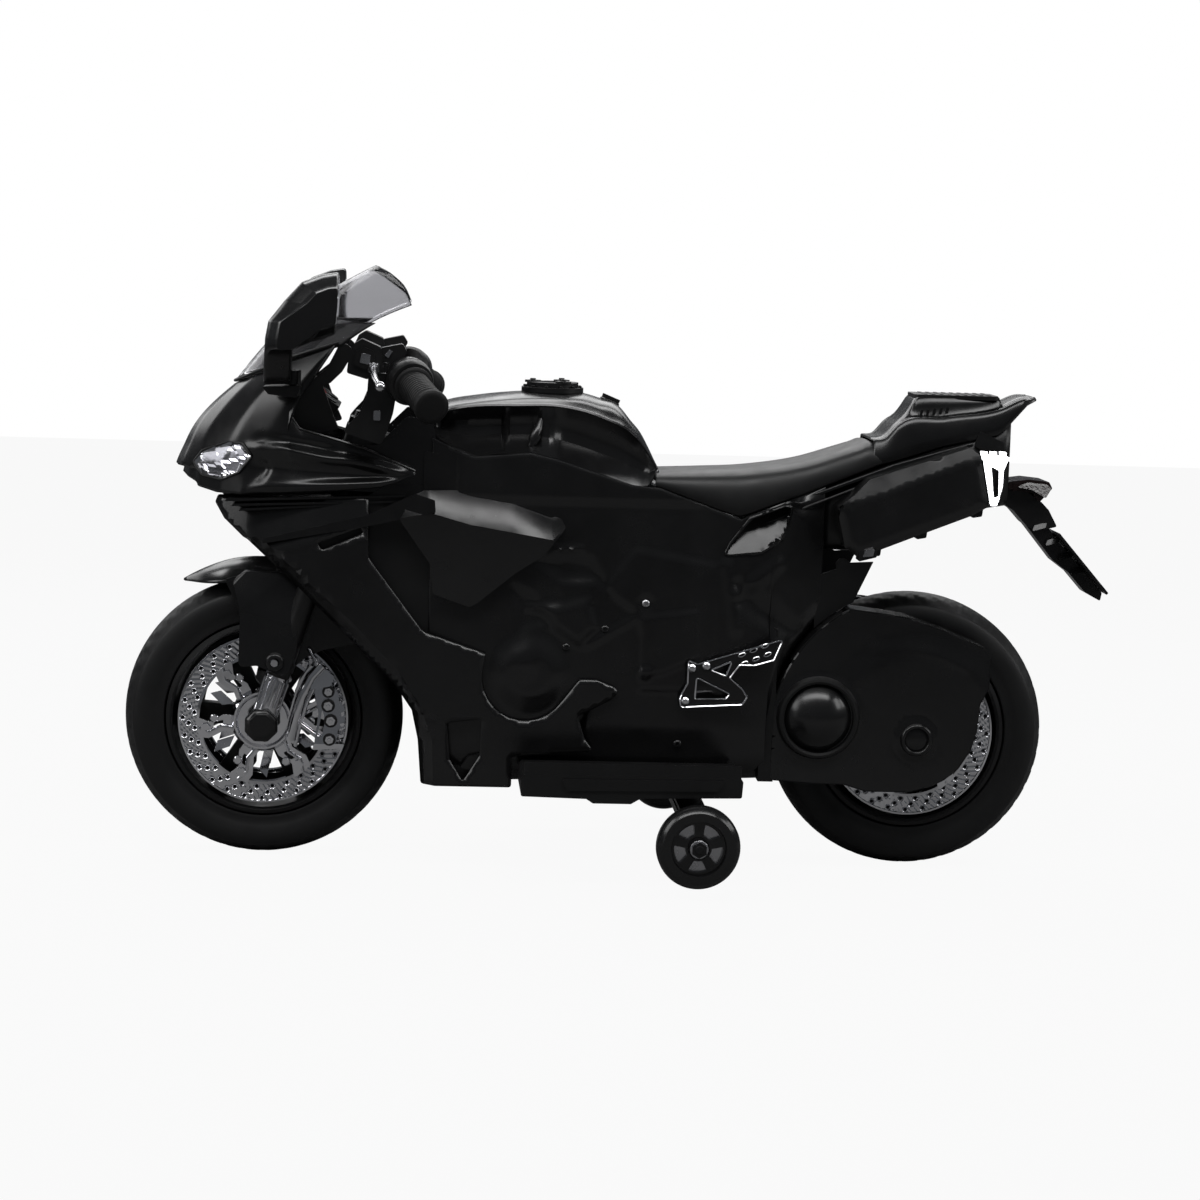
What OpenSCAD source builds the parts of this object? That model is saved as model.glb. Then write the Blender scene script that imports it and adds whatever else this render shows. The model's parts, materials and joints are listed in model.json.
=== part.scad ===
// Child's ride-on sport motorcycle with stabiliser wheels.
// -X is forward, -Y is the rider's left, +Z is up and the ground is Z = 0.

/* [Overall] */
// Length from the front tyre to the tip of the plate holder
overall_l = 1050; // [1046:1:1054]
// Distance between the front and rear axles
wheelbase = 692; // [690:1:694]
// Wall of the moulded shells
wall = 3; // [2:0.5:3]

/* [Wheels] */
// Radius of the front and rear tyres
wheel_r = 148; // [147:0.5:148]
// Width of the front and rear tyres
tyre_w = 75; // [68:1:75]
// Radius of the chrome brake discs
disc_r = 90; // [84:1:92]
// Holes in the outer ring of each disc
disc_holes = 24; // [12:1:30]
// Radius of the stabiliser wheels
stabiliser_r = 43; // [42:1:44]
// Width of the stabiliser wheels
stabiliser_w = 26; // [22:1:28]
// Distance between the middles of the stabiliser wheels
stabiliser_track = 424; // [420:2:430]
// Height of the stabiliser wheels' axle, so that one of them lands only when the machine leans
stabiliser_z = 54; // [53:0.5:55]

/* [Body] */
// Half width of the main body at the engine
body_half_w = 95; // [92:1:95]
// Half width over the footboards
board_half_w = 188; // [170:1:188]

/* [Steering] */
// Rake of the fork from the vertical
rake = 18; // [17.5:0.5:18.5]
// Distance from the steering axis forward to the fork legs
fork_offset = 21; // [18:1:22]
// Half distance between the fork legs
fork_half = 64; // [63:0.5:65]
// Half width over the handlebar grips
bar_half_w = 206; // [196:1:210]

/* [Drive] */
// Gear module
gear_m = 2; // [1.9:0.05:2]
// Teeth on the wheel gear
wheel_teeth = 44; // [44:1:44]
// Teeth on the idler
idler_teeth = 25; // [25:1:25]
// Teeth on the motor pinion
pinion_teeth = 13; // [13:1:13]

/* [Hidden] */

$fn = 48;
front_x = wheel_r - overall_l / 2;
rear_x = front_x + wheelbase;
tail_x = overall_l / 2;
mid_x = 74;
axle_r = 6;
running = 0.05;
steer_x = front_x + fork_offset / cos(rake);
arch_r = wheel_r + 10;
split = 0.3;

// ---------- helpers ----------

function unit(v) = v / norm(v);
function flip(p) = [p[0], -p[1], p[2]];
function reversed(list) = [for (i = [len(list) - 1:-1:0]) list[i]];

// Points of an arc in a plane, from angle a0 to a1
function arc(c, r, a0, a1, n) =
    [for (i = [0:n]) let (a = a0 + (a1 - a0) * i / n) c + r * [cos(a), sin(a)]];

// An outline that runs anticlockwise, moved inward by d
function inset(pts, d) = let (n = len(pts)) [for (i = [0:n - 1])
    let (
        u = unit(pts[i] - pts[(i + n - 1) % n]),
        v = unit(pts[(i + 1) % n] - pts[i]),
        nu = [-u[1], u[0]],
        nv = [-v[1], v[0]]
    ) pts[i] + d * (nu + nv) / (1 + nu * nv)];

// Mirrors its children to the rider's right as well
module both_sides() {
    children();
    mirror([0, 1, 0]) children();
}

// Extrudes an (x, z) outline along Y, from y0 to y1
module side_plate(y0, y1) {
    translate([0, max(y0, y1), 0]) rotate([90, 0, 0])
        linear_extrude(abs(y1 - y0)) children();
}

// Turns a shape drawn about Z so that it lies about the Y axis at (x, z)
module about_y(x, z) {
    translate([x, 0, z]) rotate([90, 0, 0]) children();
}

// A cylinder along Y between two depths
module cyl_y(x, z, y0, y1, r) {
    translate([x, max(y0, y1), z]) rotate([90, 0, 0]) cylinder(r = r, h = abs(y1 - y0));
}

// Puts its children in the steering frame: the axis is local Z, the fork legs are at local -X
module on_steering() {
    translate([steer_x, 0, wheel_r]) rotate([0, rake, 0]) children();
}

// A closed sheet of thickness t behind the grid g[u][v], whose outside is cross(du, dv)
module panel(g, t = wall) {
    n = len(g);
    m = len(g[0]);
    back = [for (i = [0:n - 1]) [for (j = [0:m - 1])
        g[i][j] - t * unit(cross(
            g[min(i + 1, n - 1)][j] - g[max(i - 1, 0)][j],
            g[i][min(j + 1, m - 1)] - g[i][max(j - 1, 0)]))]];
    function at(i, j, side) = (side * n + i) * m + j;
    polyhedron(
        points = [for (s = [g, back]) for (row = s) for (p = row) p],
        faces = [
            for (i = [0:n - 2]) for (j = [0:m - 2]) each [
                [at(i, j, 0), at(i, j + 1, 0), at(i + 1, j + 1, 0)],
                [at(i, j, 0), at(i + 1, j + 1, 0), at(i + 1, j, 0)],
                [at(i, j, 1), at(i + 1, j + 1, 1), at(i, j + 1, 1)],
                [at(i, j, 1), at(i + 1, j, 1), at(i + 1, j + 1, 1)]],
            for (i = [0:n - 2]) each [
                [at(i, 0, 0), at(i + 1, 0, 0), at(i + 1, 0, 1)],
                [at(i, 0, 0), at(i + 1, 0, 1), at(i, 0, 1)],
                [at(i, m - 1, 0), at(i + 1, m - 1, 1), at(i + 1, m - 1, 0)],
                [at(i, m - 1, 0), at(i, m - 1, 1), at(i + 1, m - 1, 1)]],
            for (j = [0:m - 2]) each [
                [at(0, j, 0), at(0, j, 1), at(0, j + 1, 1)],
                [at(0, j, 0), at(0, j + 1, 1), at(0, j + 1, 0)],
                [at(n - 1, j, 0), at(n - 1, j + 1, 1), at(n - 1, j, 1)],
                [at(n - 1, j, 0), at(n - 1, j + 1, 0), at(n - 1, j + 1, 1)]]
        ]);
}

// A closed solid through rings of points, each anticlockwise as seen from where the next rings lie
module loft(rings) {
    n = len(rings);
    k = len(rings[0]);
    polyhedron(
        points = [for (r = rings) for (p = r) p],
        faces = [
            [for (j = [0:k - 1]) j],
            [for (j = [k - 1:-1:0]) (n - 1) * k + j],
            for (i = [0:n - 2]) for (j = [0:k - 1]) let (q = (j + 1) % k) each [
                [i * k + j, (i + 1) * k + j, (i + 1) * k + q],
                [i * k + j, (i + 1) * k + q, i * k + q]]
        ]);
}

// A left half curve in (y, z) at x, continued to the right by mirroring; the last point is on the middle
function across(x, half) = concat(
    [for (p = half) [x, p[0], p[1]]],
    [for (i = [len(half) - 2:-1:0]) [x, -half[i][0], half[i][1]]]);

// ---------- main body ----------

body_x = [-205, -187, -161, -130, -103, -72, -30, 5, 33, 60, 90, 120, 154, 160, 166, 180, 200, 211];

function body_floor(x) = x < 155
    ? lookup(x, [[-205, 90], [-113, 92], [154, 98]])
    : wheel_r + sqrt(pow(arch_r, 2) - pow(rear_x - x, 2));
function deck(x) = lookup(x, [[-212, 456], [-205, 453], [-187, 445], [-161, 436], [-103, 442],
    [-72, 435], [-30, 421], [5, 409], [33, 406], [60, 396], [120, 376], [180, 401], [250, 429]]);
function side_w(x) = lookup(x, [[-205, 90], [-130, body_half_w], [60, body_half_w],
    [140, 88], [160, 84], [180, 74], [215, 60]]);
function deck_w(x) = lookup(x, [[-212, 62], [-187, 72], [-130, 84], [-72, 85], [-30, 80], [5, 66],
    [33, 58], [120, 66], [180, 62], [250, 54]]);

// Left half of the body's skin at x, from the middle of the floor round to the middle of the deck
function body_section(x) = let (z0 = body_floor(x), z1 = deck(x), h = z1 - z0, w = side_w(x))
    [[x, 0, z0], [x, -0.82 * w, z0], [x, -0.97 * w, z0 + 0.07 * h], [x, -w, z0 + 0.2 * h],
        [x, -w, z0 + 0.72 * h], [x, -0.5 * (w + deck_w(x)), z0 + 0.92 * h],
        [x, -deck_w(x), z1], [x, 0, z1]];

// Plate behind each side that reaches over the rear wheel, with a round lug on its top edge
fin_lug = [232, 330];
module fin() {
    side_plate(-58.6, -62) {
        polygon(concat([[204, 318], [213, 321], [225, 327], [240, 332], [265, 334], [266, 331]],
            arc([rear_x, wheel_r], arch_r + 0.5, 116.2, 134.4, 6)));
        translate(fin_lug) circle(r = 7);
    }
}

module body_half() {
    rear = body_x[len(body_x) - 1];
    panel([for (x = body_x) body_section(x)]);
    translate([rear - wall, -59.5, 272]) cube([wall - 0.5, 59.5, 134]);
    fin();
}
module body_left() { color("#101012") body_half(); }
module body_right() { color("#101012") mirror([0, 1, 0]) body_half(); }

// ---------- tank, seat and tail ----------

tank_x = [-212, -187, -161, -130, -103, -72, -30, -5, 5, 20, 33];
function tank_top(x) = lookup(x, [[-212, 474], [-187, 490], [-161, 495], [-113, 501], [-46, 501],
    [-30, 496], [-5, 486], [5, 472], [20, 452], [33, 430]]);
function tank_section(x) = let (z0 = deck(x) + split, z1 = tank_top(x), h = z1 - z0, w = deck_w(x))
    across(x, [[-w, z0], [-w - 4, z0 + 0.35 * h], [-w + 3, z0 + 0.62 * h], [-0.78 * w, z0 + 0.85 * h],
        [-0.5 * w, z0 + 0.96 * h], [-0.2 * w, z1], [0, z1]]);

module tank_cover() {
    color("#0b0b0c") panel([for (x = tank_x) tank_section(x)]);
}

cap_x = -78;
module tank_cap() {
    color("#151517") translate([cap_x, 0, 501 + split]) {
        cylinder(r = 33, h = 6);
        difference() {
            union() {
                cylinder(r = 27, h = 12);
                for (a = [60:120:300]) rotate(a) {
                    translate([20, 0, 0]) cylinder(r = 9, h = 12);
                    translate([21, 0, 0]) cylinder(r = 3, h = 14);
                }
            }
            translate([0, 0, 8]) cylinder(r = 14, h = 10);
        }
        for (a = [0:120:240]) rotate(a) translate([30, 0, 5]) cylinder(r = 2, h = 3.5);
    }
}

latch_c = [-17, 0, 491.6];
latch_tilt = 22;
module battery_latch() {
    color("#1b1b1d") translate(latch_c) rotate([0, latch_tilt, 0]) {
        cylinder(r = 11, h = 3);
        translate([-10, -3, 3]) cube([20, 6, 4]);
    }
}

seat_x = [36, 60, 90, 120, 150, 180, 215, 249];
function seat_top(x) = lookup(x, [[36, 423], [83, 425], [137, 429], [191, 438], [233, 452], [249, 458]]);
function seat_ring(x) = let (z0 = deck(x) + split, z1 = seat_top(x), h = z1 - z0, w = deck_w(x) + 2)
    reversed(across(x, [[-w, z0], [-w - 3, z0 + 0.5 * h], [-w + 5, z1 - 0.2 * h],
        [-0.7 * w, z1 - 0.03 * h], [0, z1]]));

module seat() {
    color("#17171a") loft([for (x = seat_x) seat_ring(x)]);
}

tail_w = [[250, 56], [300, 54], [380, 44], [438, 34]];
tail_stations = [251, 272, 287, 297, 309, 323, 373, 404, 436];
function tail_low(x) = lookup(x, [[251, 430], [283, 448], [373, 477], [404, 495], [436, 506]]);
function tail_top(x) = lookup(x, [[251, 456], [272, 459], [287, 472], [297, 488], [309, 500], [323, 503],
    [404, 505], [436, 511]]);
function tail_section(x) = let (z0 = tail_low(x), z1 = tail_top(x), h = z1 - z0, w = lookup(x, tail_w))
    across(x, [[-w, z0], [-w - 2, z0 + 0.4 * h], [-w + 5, z0 + 0.8 * h], [-0.7 * w, z1], [0, z1]]);

module tail_cowl() {
    color("#101012") panel([for (x = tail_stations) tail_section(x)], 2);
}

module tail_pad() {
    z = 505.5;
    color("#1c1c1f") {
        translate([314, -26, z]) cube([84, 52, 4]);
        for (k = [0:2]) translate([322 + 8 * k, -22, z + 4]) cube([4, 44, 1.5]);
    }
}

under_x = [213, 251, 290, 340, 380, 411];
function under_section(x) = let (
        z0 = lookup(x, [[213, 343], [251, 343], [290, 354], [340, 373], [380, 388], [411, 393]]),
        z1 = lookup(x, [[213, 411], [251, 427], [283, 444], [340, 464], [380, 478], [411, 480]]),
        w = lookup(x, [[251, 52], [300, 50], [380, 42], [411, 34]]))
    across(x, [[-w, z1], [-w, 0.5 * (z0 + z1)], [-w + 3, z0 + 4], [-w + 14, z0], [0, z0]]);

module tail_under() {
    color("#0e0e0f") panel([for (x = reversed(under_x)) under_section(x)]);
}

// ---------- plate holder and lights ----------

plate_top = [[468, 362], [tail_x, 300]];
plate_tilt = atan2(plate_top[0][1] - plate_top[1][1], plate_top[1][0] - plate_top[0][0]);
module plate_holder() {
    tip = [tail_x - 3, 290];
    color("#0d0d0e") {
        side_plate(-18, 18) polygon(concat([[412, 394], [421, 388], [437, 372], [468, 334], [505, 300], tip],
            reversed(plate_top), [[455, 386], [446, 396], [440, 408], [412, 412]]));
        side_plate(-36, 36) polygon(concat([[462, 352], tip], reversed(plate_top)));
    }
}

// Lamp under the tail and the reflector on the plate
module rear_lights() {
    color("#8c3a3c") {
        side_plate(-26, 26) polygon([[412.5, 412.5], [440, 408.5], [447, 398], [461, 414], [457, 421],
            [435, 423], [414, 420]]);
        translate([plate_top[1][0], 0, plate_top[1][1]]) rotate([0, plate_tilt, 0])
            translate([-25, -15, split]) cube([14, 30, 3]);
    }
}

// ---------- exhausts ----------

exhaust_outline = reversed([[219, 394], [252, 423], [356, 459], [372, 450], [379, 399], [362, 389],
    [302, 365], [255, 345], [243, 341], [228, 352]]);
exhaust_y = [62.5, 102];

module exhaust_half() {
    difference() {
        side_plate(-exhaust_y[0], -exhaust_y[1]) polygon(exhaust_outline);
        side_plate(-exhaust_y[0] + 1, -exhaust_y[1] + wall) polygon(inset(exhaust_outline, wall));
    }
}
module exhausts() { color("#121214") both_sides() exhaust_half(); }

module exhaust_tips() {
    outline = [[379.6, 399], [388, 399], [396, 434], [404, 451], [373, 451]];
    color("#c9ccd0") both_sides() difference() {
        side_plate(-65, -99) polygon(outline);
        side_plate(-69, -95) polygon([[381, 405], [420, 405], [420, 446], [381, 446]]);
    }
}

// ---------- rear drive side covers ----------

drive_a = 168.7;
function along_drive(d) = [rear_x + d * cos(drive_a), wheel_r + d * sin(drive_a)];
gear_gap = 0.25;
idler_c = along_drive(gear_m * (wheel_teeth + idler_teeth) / 2 + gear_gap);
motor_c = along_drive(gear_m * (wheel_teeth + 2 * idler_teeth + pinion_teeth) / 2 + 2 * gear_gap);
cover_y = [44, 85];
arch_gap = 2;

cover_outline = reversed(concat(
    [[160.8, 102]],
    arc([rear_x, wheel_r], arch_r - arch_gap, 170, 118, 8),
    [[386, 244], [391, 142]],
    arc([rear_x, wheel_r], 75, -32, -115, 8),
    [[243, 99]]));

module swing_cover() {
    difference() {
        union() {
            difference() {
                side_plate(-cover_y[0], -cover_y[1]) polygon(cover_outline);
                side_plate(-cover_y[0] + 1, -cover_y[1] + wall) polygon(inset(cover_outline, wall));
            }
            cyl_y(rear_x, wheel_r, -66, -83, 14);
        }
        cyl_y(rear_x, wheel_r, -60, -90, axle_r + running);
        cyl_y(motor_c[0], motor_c[1], -70, -90, 30);
    }
}
module swing_covers() { color("#0f0f11") both_sides() swing_cover(); }

module dome_caps() {
    color("#0a0a0b") both_sides()
        translate([motor_c[0], -cover_y[1] - split, motor_c[1]]) rotate([90, 0, 0])
            rotate_extrude() polygon([[0, 18], [22, 16], [32, 10], [37, 0], [33, 0], [29, 8],
                [20, 13], [0, 15]]);
}

module rear_axle() {
    color("#1a1a1c") {
        cyl_y(rear_x, wheel_r, -91, 91, axle_r);
        both_sides() difference() {
            cyl_y(rear_x, wheel_r, -85.3, -92, 17);
            cyl_y(rear_x, wheel_r, -88, -93, 11);
        }
        both_sides() cyl_y(rear_x, wheel_r, -57, -65.7, 9);
    }
}

// ---------- nose, windscreen and front panels ----------

// Lower and upper edges of the nose from the rear tip round to the middle, on the left
nose_low = [[-222, -100, 417], [-258, -100, 403], [-300, -98, 398], [-341, -96, 395],
    [-375, -90, 392], [-403, -82, 390], [-428, -68, 391], [-452, -46, 396], [-468, -22, 403],
    [-475, 0, 407]];
nose_high = [[-222, -99, 421], [-275, -96, 443], [-342, -91, 461], [-354, -87, 478],
    [-333, -83, 508], [-308, -79, 547], [-355, -65, 529], [-392, -40, 512], [-409, -18, 504],
    [-415, 0, 501]];
nose_bulge = [0, 2, 4, 7, 9, 12, 14, 14, 12, 11];
nose_rows = 5;

// One column of the nose between its edges, bowed outward
function nose_column(k) = let (a = nose_low[k], b = nose_high[k]) [for (j = [0:nose_rows])
    let (t = j / nose_rows, out = unit([a[0] + 250, 1.6 * a[1], 0]), bow = nose_bulge[k] * sin(180 * t))
    a + (b - a) * t + bow * [out[0], out[1], 0.35]];

module nose_cowl() {
    left = [for (k = [0:len(nose_low) - 1]) nose_column(k)];
    right = [for (k = [len(nose_low) - 2:-1:0]) [for (p = nose_column(k)) flip(p)]];
    color("#101012") {
        panel(reversed(concat(left, right)), 2.5);
        both_sides() {
            translate([mirror_pivot[0] - 9, mirror_pivot[1] - 9, 494]) cube([18, 26, 6]);
            translate([mirror_pivot[0], mirror_pivot[1], 494]) cylinder(r = 9, h = 12);
            translate([mirror_pivot[0], mirror_pivot[1], 500]) cylinder(r = 4, h = 20);
        }
    }
}

mirror_pivot = [-350, -104];
module mirror_half() {
    arm = [[-349, 509], [-349, 545], [-345, 564], [-366, 572], [-374, 556], [-378, 509]];
    inner = [[-372, 556], [-357, 590], [-339, 612], [-301, 624], [-305, 560], [-349, 546]];
    outer = [[-352, 566], [-340, 592], [-303, 612], [-305, 570]];
    p = mirror_pivot;
    difference() {
        union() {
            hull() {
                side_plate(-122, -150) polygon(reversed(inner));
                side_plate(-150, -188) polygon(reversed(outer));
            }
            translate([p[0], p[1], 506.3]) cylinder(r = 9, h = 18);
            side_plate(-106, -124) polygon(arm);
        }
        translate([p[0], p[1], 500]) cylinder(r = 4 + running, h = 21);
        side_plate(-128, -182) polygon([[-303, 568], [-301, 568], [-299, 612], [-301, 612]]);
    }
}
module mirror_left() { color("#0d0d0f") mirror_half(); }
module mirror_right() { color("#0d0d0f") mirror([0, 1, 0]) mirror_half(); }

// Base and top edges of the windscreen, on the left
screen_base = [[-304, -78, 549.5], [-354, -65, 532], [-391, -40, 515], [-408.5, -18, 507], [-414.5, 0, 504]];
screen_top = [[-230, -74, 592], [-238, -58, 608], [-252, -36, 621], [-264, -17, 628], [-269, 0, 630]];
screen_rows = 4;
function screen_column(k) = let (a = screen_base[k], b = screen_top[k]) [for (j = [0:screen_rows])
    let (t = j / screen_rows) a + (b - a) * t + (4 + 2.4 * k) * sin(180 * t) * [-0.6, 0, 0.8]];

module windscreen() {
    left = [for (k = [0:4]) screen_column(k)];
    right = [for (k = [3:-1:0]) [for (p = screen_column(k)) flip(p)]];
    color("#3a3a40", 0.5) panel(reversed(concat(left, right)), 2.5);
}

// Lens that follows the nose just outside its skin
module headlights() {
    function lens_point(k, t) = let (
            c = nose_column(floor(k)), d = nose_column(min(ceil(k), len(nose_low) - 1)),
            r = t * nose_rows, j = floor(r), f = r - j,
            p = c[j] + (c[j + 1] - c[j]) * f, q = d[j] + (d[j + 1] - d[j]) * f,
            s = p + (q - p) * (k - floor(k)))
        s + 5.5 * unit([s[0] + 250, 1.6 * s[1], 15]);
    color("#dfe4ea", 0.6) both_sides()
        panel(reversed([for (k = [5.2:0.6:8.2]) [for (j = [0:4]) lens_point(k, 0.1 + 0.07 * j)]]), 3);
}

dash_c = [-322, 0, 489];
dash_tilt = 35;
rocker_y = 9;
module on_dash() {
    translate(dash_c) rotate([0, dash_tilt, 0]) children();
}
module instrument_panel() {
    color("#151518") on_dash() difference() {
        union() {
            translate([-20, -50, -5]) cube([40, 100, 10]);
            for (y = [-32, 32]) translate([0, y, 5]) cylinder(r = 15, h = 2);
        }
        for (y = [-rocker_y, rocker_y]) translate([-7.5, y - 5, -10]) cube([15, 10, 20]);
    }
}
module rocker() {
    translate([0, 4, 3]) rotate([90, 0, 0]) cylinder(r = 5.5, h = 8);
    translate([-6, -4, 6]) cube([12, 8, 4]);
}
module power_switch() { color("#a02020") on_dash() translate([0, -rocker_y, 0]) rocker(); }
module direction_switch() { color("#303035") on_dash() translate([0, rocker_y, 0]) rocker(); }

fairing_x = [-427, -391, -339, -291, -268, -261, -238, -213, -205, -142, -140, -116, -113.5, -77, -45, -28, -9];
function fairing_low(x) = lookup(x, [[-427, 381], [-391, 341], [-339, 295], [-291, 249], [-238, 197],
    [-213, 140], [-205, 92], [-116, 92], [-113.5, 125], [-28, 131], [-9, 190]]);
function fairing_high(x) = lookup(x, [[-427, 386], [-391, 388], [-268, 392], [-261, 322], [-213, 257],
    [-142, 232], [-140, 190], [-116, 165], [-77, 165], [-45, 206], [-28, 206], [-9, 198]]);
function fairing_y(x) = lookup(x, [[-427, 68], [-391, 84], [-339, 95], [-291, 99], [-205, 100.5], [0, 100.5]]);

module fairing_half() {
    rows = 4;
    panel([for (x = fairing_x) [for (j = [0:rows])
        [x, -fairing_y(x) - 1.5 * sin(180 * j / rows),
            fairing_low(x) + (fairing_high(x) - fairing_low(x)) * j / rows]]]);
}
module fairing_left() { color("#0d0d0e") fairing_half(); }
module fairing_right() { color("#0d0d0e") mirror([0, 1, 0]) fairing_half(); }

winglet_outline = reversed([[-237, 370], [-220, 395], [-163, 402], [-116, 387], [-69, 373], [-66, 366],
    [-86, 338], [-116, 318], [-156, 284], [-163, 281], [-201, 294], [-205, 326]]);

module winglet() {
    difference() {
        side_plate(-103, -113) polygon(winglet_outline);
        side_plate(-102, -113 + wall) polygon(inset(winglet_outline, wall));
    }
    for (p = [[-190, 340], [-110, 350]]) cyl_y(p[0], p[1], -body_half_w - 1, -110, 4);
}
module winglets() { color("#26262a") both_sides() winglet(); }

// ---------- footboards, heel plates and stabilisers ----------

board_in = 101.5;
pedal_lugs = [113.5, 168.5];
pedal_axis = [-18, 128];
module footboards() {
    outline = [[-107, 98], [-40, 96.5], [-33, 93], [6, 93], [16, 98.5], [119, 99.5], [121, 118],
        [117, 121], [-103, 121]];
    color("#0f0f10") both_sides() {
        difference() {
            side_plate(-board_in, -board_half_w) polygon(reversed(outline));
            translate([-100, -board_half_w + wall, 90]) cube([130, board_half_w - board_in - 2 * wall, 28]);
            translate([36, -board_half_w + wall, 90]) cube([80, board_half_w - board_in - 2 * wall, 28]);
        }
        for (k = [0:8]) translate([-88 + k * 22, -board_half_w + 12, 121]) cube([6, 64, 2]);
        for (x = [-60, 60]) cyl_y(x, 112, -body_half_w - 0.5, -board_in, 6);
    }
    color("#0f0f10") for (y = pedal_lugs) difference() {
        translate([pedal_axis[0] - 6, y, 120]) cube([12, 4, 13]);
        cyl_y(pedal_axis[0], pedal_axis[1], y - 1, y + 5, 2.5 + running);
    }
}

module heel_plates() {
    outline = reversed([[68, 230], [78, 226], [167, 254], [158, 232], [138, 226], [122, 226],
        [112, 212], [126, 200], [131, 192], [126, 184], [62, 180], [60, 190], [68, 206]]);
    color("#b9bcc2") both_sides() {
        difference() {
            side_plate(-97, -103) polygon(outline);
            side_plate(-96, -104) polygon([[76, 190], [104, 188], [100, 206], [82, 216]]);
            for (k = [0:2]) for (r = [0:1])
                cyl_y(124 + 12 * k + 3 * r, 234 + 5 * k - 9 * r + 3, -96, -104, 2.6);
        }
        for (p = [[66, 186], [72, 222], [86, 224]]) cyl_y(p[0], p[1], -103, -106, 4);
        cyl_y(70, 200, -body_half_w - 0.5, -97, 4);
    }
}

stabiliser_y = stabiliser_track / 2;
bracket_z = 76;
module stabiliser_bracket() {
    inner = stabiliser_y - stabiliser_w / 2 - 2;
    foot = stabiliser_z - 12;
    color("#1e1e20") {
        translate([mid_x - 14, -inner, bracket_z]) cube([28, 2 * inner, 5]);
        both_sides() {
            translate([mid_x - 14, -inner, foot]) cube([28, 5, bracket_z - foot]);
            cyl_y(mid_x, stabiliser_z, -inner, -stabiliser_y - stabiliser_w / 2 - 4, 5);
            cyl_y(mid_x, stabiliser_z, -stabiliser_y - stabiliser_w / 2 - 0.5,
                -stabiliser_y - stabiliser_w / 2 - 5, 9.5);
            translate([mid_x - 12, -60, bracket_z + 5]) cube([24, 20, 11]);
        }
    }
}

module stabiliser_wheel() {
    h = stabiliser_w / 2;
    r = stabiliser_r;
    color("#121213") translate([mid_x, -stabiliser_y, stabiliser_z]) rotate([90, 0, 0]) difference() {
        rotate_extrude() polygon([[5 + running, -h], [10, -h], [10, -5], [r - 16, -5], [r - 14, -h + 1],
            [r - 5, -h + 1], [r - 2, -h + 4], [r, -4], [r, 4], [r - 2, h - 4], [r - 5, h - 1],
            [r - 14, h - 1], [r - 16, 5], [10, 5], [10, h], [5 + running, h]]);
        for (a = [18:72:306]) rotate(a) translate([18, 0, 0]) cylinder(r = 5.5, h = 20, center = true);
    }
}
module stabiliser_wheel_left() { stabiliser_wheel(); }
module stabiliser_wheel_right() { mirror([0, 1, 0]) stabiliser_wheel(); }

// ---------- parts inside the body ----------

module battery() {
    color("#3c3f45") {
        translate([-70, -35, 103]) cube([100, 70, 90]);
        for (y = [-18, 18]) translate([-55, y - 3, 193]) cube([8, 6, 6]);
    }
}

module controller() {
    color("#244a34") translate([60, -30, 300]) cube([60, 60, 22]);
}

wire_r = 2.5;
wire_route = [[-51, 18, 202], [-48, 18, 226], [-20, 14, 262], [20, 8, 292], [50, 4, 305], [58.6, 4, 308]];
module wiring() {
    sides = 8;
    n = len(wire_route);
    function heading(i) = unit(wire_route[min(i + 1, n - 1)] - wire_route[max(i - 1, 0)]);
    color("#7a1d1d") loft([for (i = [0:n - 1]) let (
            h = heading(i), a = unit(cross([0, 1, 0], h)), b = cross(h, a))
        [for (k = [0:sides - 1]) wire_route[i]
            + wire_r * (cos(360 * k / sides) * a + sin(360 * k / sides) * b)]]);
}

screw_places = [[22, 288], [-60, 240], [60, 140], [-20, 260]];
module screws() {
    color("#8d9096") both_sides() for (p = screw_places)
        cyl_y(p[0], p[1], -body_half_w - 0.1, -body_half_w - 2.1, 4);
}

// ---------- gears ----------

gear_y = [-50, -56];
function involute(a) = tan(a) * 180 / PI - a;
// Half the angle that a tooth spans at radius r
function tooth_half(r, pitch_r, teeth) = let (base = pitch_r * cos(20), slack = 0.3)
    (PI * gear_m / 2 - slack) / (2 * pitch_r) * 180 / PI + involute(20)
        - (r > base ? involute(acos(base / r)) : 0);
function gear_outline(teeth, turn) = let (
        p = gear_m * teeth / 2, root = p - 1.3 * gear_m, tip = p + 0.85 * gear_m,
        radii = [root, max(root + 0.3, p * cos(20) + 0.05), p, p + 0.45 * gear_m, tip])
    [for (k = [0:teeth - 1]) let (mid = turn + k * 360 / teeth) each concat(
        [for (r = radii) r * [cos(mid - tooth_half(r, p, teeth)), sin(mid - tooth_half(r, p, teeth))]],
        [for (r = reversed(radii)) r * [cos(mid + tooth_half(r, p, teeth)), sin(mid + tooth_half(r, p, teeth))]])];

module gear(c, teeth, turn) {
    translate([c[0], 0, c[1]]) side_plate(gear_y[0], gear_y[1]) polygon(gear_outline(teeth, turn));
}

wheel_turn = drive_a;
idler_turn = drive_a + 180 + 180 / idler_teeth;
pinion_turn = drive_a + 180 + 180 / pinion_teeth
    - (drive_a - idler_turn) * idler_teeth / pinion_teeth;

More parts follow.
